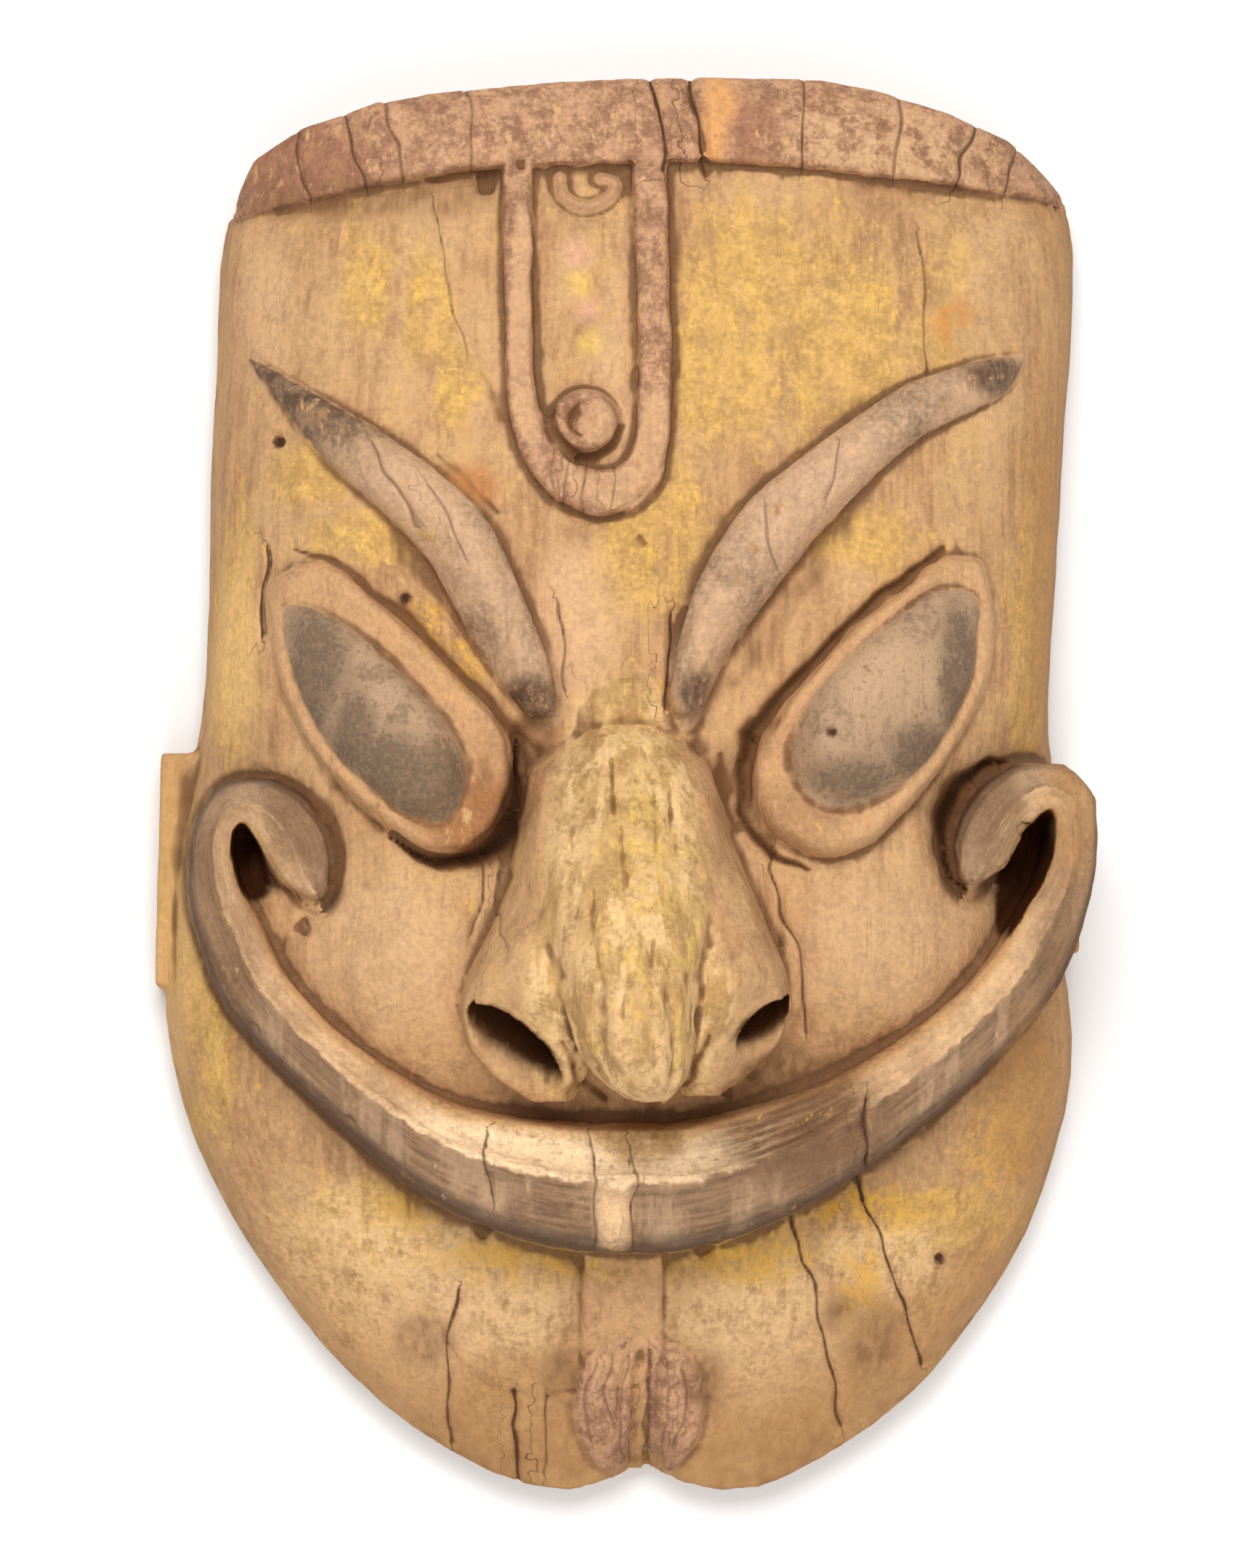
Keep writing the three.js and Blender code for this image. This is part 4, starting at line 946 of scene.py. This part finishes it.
# Eyeballs, blackened in patches
ball = blend(tree, fade(tree, mottle, 0.3, 0.65), (0.29, 0.18, 0.105), (0.50, 0.32, 0.19))
black_spots = area(
    "black_spots",
    (-79, 31, 11, 24), (-50, -1, 14, 14), (-60, 4, 11, 10), (-69, 12, 7, 14), (54, 1, 15, 9),
    (83, 22, 9, 26), (73, 8, 15, 11),
)
blackened = calc(tree, "MULTIPLY_ADD", mottle, 2.2, calc(tree, "MULTIPLY", speck, 1.4))
blackened = calc(tree, "MULTIPLY_ADD", black_spots, 0.62, blackened)
pale_eye = calc(tree, "MULTIPLY", area("pale_eye", (64, 26, 22, 17)), 0.65)
ball = blend(tree, pale_eye, ball, (0.58, 0.37, 0.21))
ball = blend(tree, fade(tree, blackened, 1.78, 2.65, 0, 0.78), ball, (0.08, 0.053, 0.034))
ball_coat = coated(mark["eye"], 0.5, 0.05)
tone = blend(tree, ball_coat, tone, ball)

# Nose with its flaking yellow
plates = noise(tree, place, 8, 4, 0.55, (1, 2.4, 1))
nose_tone = blend(tree, fade(tree, plates, 0.42, 0.6), (0.47, 0.275, 0.105), (0.68, 0.43, 0.20))
nose_tone = blend(tree, fade(tree, mottle, 0.5, 0.36, 0, 0.6), nose_tone, (0.42, 0.225, 0.085))
flaky = area(
    "flaky",
    (13, -22, 11, 40), (-6, -48, 12, 26), (10, -64, 9, 15), (2, -10, 16, 30),
)
flakes = calc(tree, "MULTIPLY_ADD", flaky, 0.09, noise(tree, place, 4.4, 6, 0.74, (1, 2.2, 1)))
nose_tone = blend(tree, fade(tree, flakes, 0.55, 0.68, 0, 0.8), nose_tone, (0.72, 0.465, 0.13))
nose_tone = blend(tree, fade(tree, sweeps, 0.5, 0.6, 0, 0.8), nose_tone, (0.84, 0.56, 0.27))
# Dark brown in the nose's creases: dirt and painted shade
nose_tone = blend(tree, fade(tree, mark["hollow_fine"], 0.05, 0.22, 0, 0.8), nose_tone, (0.27, 0.135, 0.045))
tone = blend(tree, fade(tree, mark["nose"], -2, 3, 0, 0.85), tone, nose_tone)

# Yellow flecks, dirt and painted shade over everything
fleck = calc(tree, "MULTIPLY_ADD", yellowing, 0.07, noise(tree, place, 3.4, 5, 0.72, (1, 2, 1)))
painted = most(coat, brow_coat, ball_coat, lower_coat)
fleck = calc(tree, "MULTIPLY", fade(tree, fleck, 0.6, 0.72), calc(tree, "MULTIPLY_ADD", painted, -0.5, 0.6))
tone = blend(tree, fleck, tone, (0.75, 0.45, 0.09))
# Darker, browner wood where the sides curve down to the rim, less at the left edge and most on the right:
# partly the wood's own tone, partly painted shade on the right side
side_tone_and_shade = fade(tree, side["Z"], 50, 20, 0, 0.6)
side_tone_and_shade = calc(tree, "MULTIPLY", side_tone_and_shade, fade(tree, side["X"], -104, -70, 0.3, 1))
right_side_shade = calc(tree, "MULTIPLY", area("right_side_shade", (113, 50, 17, 92), (103, -82, 18, 34)), 0.8)
side_tone_and_shade = most(side_tone_and_shade, right_side_shade)
side_tone_and_shade = calc(tree, "MULTIPLY", side_tone_and_shade, calc(tree, "SUBTRACT", 1.0, coat))
tone = blend(tree, side_tone_and_shade, tone, (0.44, 0.22, 0.075))
tone = blend(tree, fade(tree, grain, 0.56, 0.74, 0, 0.35), tone, (0.26, 0.12, 0.055))
# Dirt and painted shade: darker in the creases and hollows of the carving, broken up by noise, less on the
# moustache and at the root of the nose
creases = calc(tree, "MULTIPLY", mark["hollow_fine"], 1.8)
creases = calc(tree, "MULTIPLY_ADD", mark["hollow_broad"], 0.75, creases)
creases = calc(tree, "MULTIPLY_ADD", calc(tree, "SUBTRACT", mottle, 0.5), 0.9, creases)
creases = calc(tree, "SUBTRACT", creases, calc(tree, "MULTIPLY", lip_coat, 0.3))
dirt_and_shade = fade(tree, creases, 0.3, 1.5, 0, 0.85)
less_at_nose_root = calc(tree, "MULTIPLY_ADD", area("less_at_nose_root", (-1, 27, 26, 12)), -0.8, 1.0)
dirt_and_shade = calc(tree, "MULTIPLY", dirt_and_shade, less_at_nose_root)
tone = blend(tree, dirt_and_shade, tone, (0.15, 0.066, 0.027))
stains = calc(tree, "MULTIPLY_ADD", streaks, 0.45, calc(tree, "MULTIPLY", mottle, 0.55))
tone = blend(tree, fade(tree, stains, 0.54, 0.68, 0, 0.55), tone, (0.36, 0.175, 0.065))
# Dark patches: partly patina in hollows, partly painted shade under the band's lower edge, beside the nose
# and along the chin's bottom edge
patina_and_shade = area(
    "patina_and_shade",
    (-50, -141, 10, 9), (64, -143, 11, 17), (55, -134, 8, 9), (-60, 148, 50, 7), (-24, 12, 9, 8),
    (-38, 151, 9, 6),
    (26, -2, 8, 16), (34, -187, 36, 8), (-30, -186, 36, 7), (40, -73, 22, 10), (22, -151, 8, 12),
    (-16, -150, 7, 10),
)
patina_and_shade = calc(tree, "MULTIPLY", patina_and_shade, fade(tree, broken, 0.4, 0.58, 0.12, 0.8))
tone = blend(tree, patina_and_shade, tone, (0.2, 0.095, 0.038))
rust_spot = calc(tree, "MULTIPLY", area("rust_spot", (83, 117, 8, 10)), fade(tree, mottle, 0.42, 0.56))
rust = most(area("rust", (-39, 75, 9, 7)), rust_spot)
rust = calc(tree, "MULTIPLY", rust, fade(tree, mark["brow"], 0.5, -1))
tone = blend(tree, calc(tree, "MULTIPLY", rust, 0.7), tone, (0.50, 0.20, 0.06))
# Near black in the gaps beside and between the forms, broken up by noise: painted shade
gap_shade_spread = calc(tree, "MULTIPLY_ADD", mottle, 2.2, calc(tree, "MULTIPLY", mark["gap"], 1.6))
gap_shade_tone = blend(tree, fade(tree, mark["gap"], 0.5, 1.0), (0.14, 0.058, 0.022), (0.03, 0.012, 0.006))
tone = blend(tree, fade(tree, gap_shade_spread, 1.4, 2.4, 0, 0.98), tone, gap_shade_tone)
# Darker towards the rim, where the sides turn down to the floor: painted shade
low_edge_shade = calc(tree, "MULTIPLY", fade(tree, side["Z"], 30, 8), fade(tree, mottle, 0.4, 0.65))
tone = blend(tree, calc(tree, "MULTIPLY", low_edge_shade, 0.75), tone, (0.2, 0.09, 0.035))
shimmer = calc(tree, "MULTIPLY_ADD", mottle, 0.5, calc(tree, "MULTIPLY", speck, 0.5))
shimmer = fade(tree, shimmer, 0.3, 0.7, 0.82, 1.18)
shimmer = add(tree, "CombineColor", dict.fromkeys((0, 1, 2), shimmer)).outputs[0]
tone = blend(tree, 1.0, tone, shimmer, "MULTIPLY")
hairs = use(tree, fine_cracks, Place=place, Size=11.0, Width=0.028)
tone = blend(tree, calc(tree, "MULTIPLY", hairs, 0.3), tone, (0.14, 0.062, 0.026))
crack_width = calc(tree, "MULTIPLY_ADD", mottle, 1.1, -0.2)
crack_distance = calc(tree, "ABSOLUTE", mark["crack_side"])
crack_line = calc(tree, "DIVIDE", crack_distance, calc(tree, "MAXIMUM", crack_width, 0.08))
crack_line = fade(tree, crack_line, 1.7, 0.4)
crack_line = calc(tree, "MULTIPLY", crack_line, fade(tree, mark["crack_reach"], 0.4, 1.4, 0.35, 0.95))
tone = blend(tree, most(crack_line, mark["hole"]), tone, (0.07, 0.028, 0.013))
# Near black inside the slots and nostrils: painted shade
tone = blend(tree, calc(tree, "MULTIPLY", mark["bore"], 0.97), tone, (0.045, 0.013, 0.005))

# Plainer wood behind
rear = blend(tree, fade(tree, streaks, 0.3, 0.7), (0.30, 0.16, 0.08), (0.48, 0.28, 0.15))
rear = blend(tree, fade(tree, grain, 0.55, 0.72, 0, 0.6), rear, (0.16, 0.08, 0.04))
tone = blend(tree, fade(tree, mark["back"], 0.3, 0.7), tone, rear)
tree.links.new(tone, shader.inputs["Base Color"])

# Dry surface with a fine tooth
rough = fade(tree, mottle, 0.3, 0.7, 0.78, 0.95)
tree.links.new(rough, shader.inputs["Roughness"])
shine = calc(tree, "MULTIPLY_ADD", most(mark["bore"], mark["gap"]), -0.25, 0.25)
tree.links.new(shine, shader.inputs["Specular IOR Level"])
tooth = calc(tree, "MULTIPLY_ADD", grain, -0.8, calc(tree, "MULTIPLY", speck, 0.45))
split = fade(tree, crack_distance, 1.3, 0.2)
split = calc(tree, "MULTIPLY", split, fade(tree, mark["crack_reach"], 0.4, 1.4))
tooth = calc(tree, "MULTIPLY_ADD", split, -0.9, tooth)
bump = add(tree, "Bump", {"Height": tooth, "Strength": 0.55, "Distance": 0.5 * MM})
tree.links.new(bump.outputs[0], shader.inputs["Normal"])
mask.data.materials.clear()
mask.data.materials.append(paint)

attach(mask, "root")
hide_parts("mask")
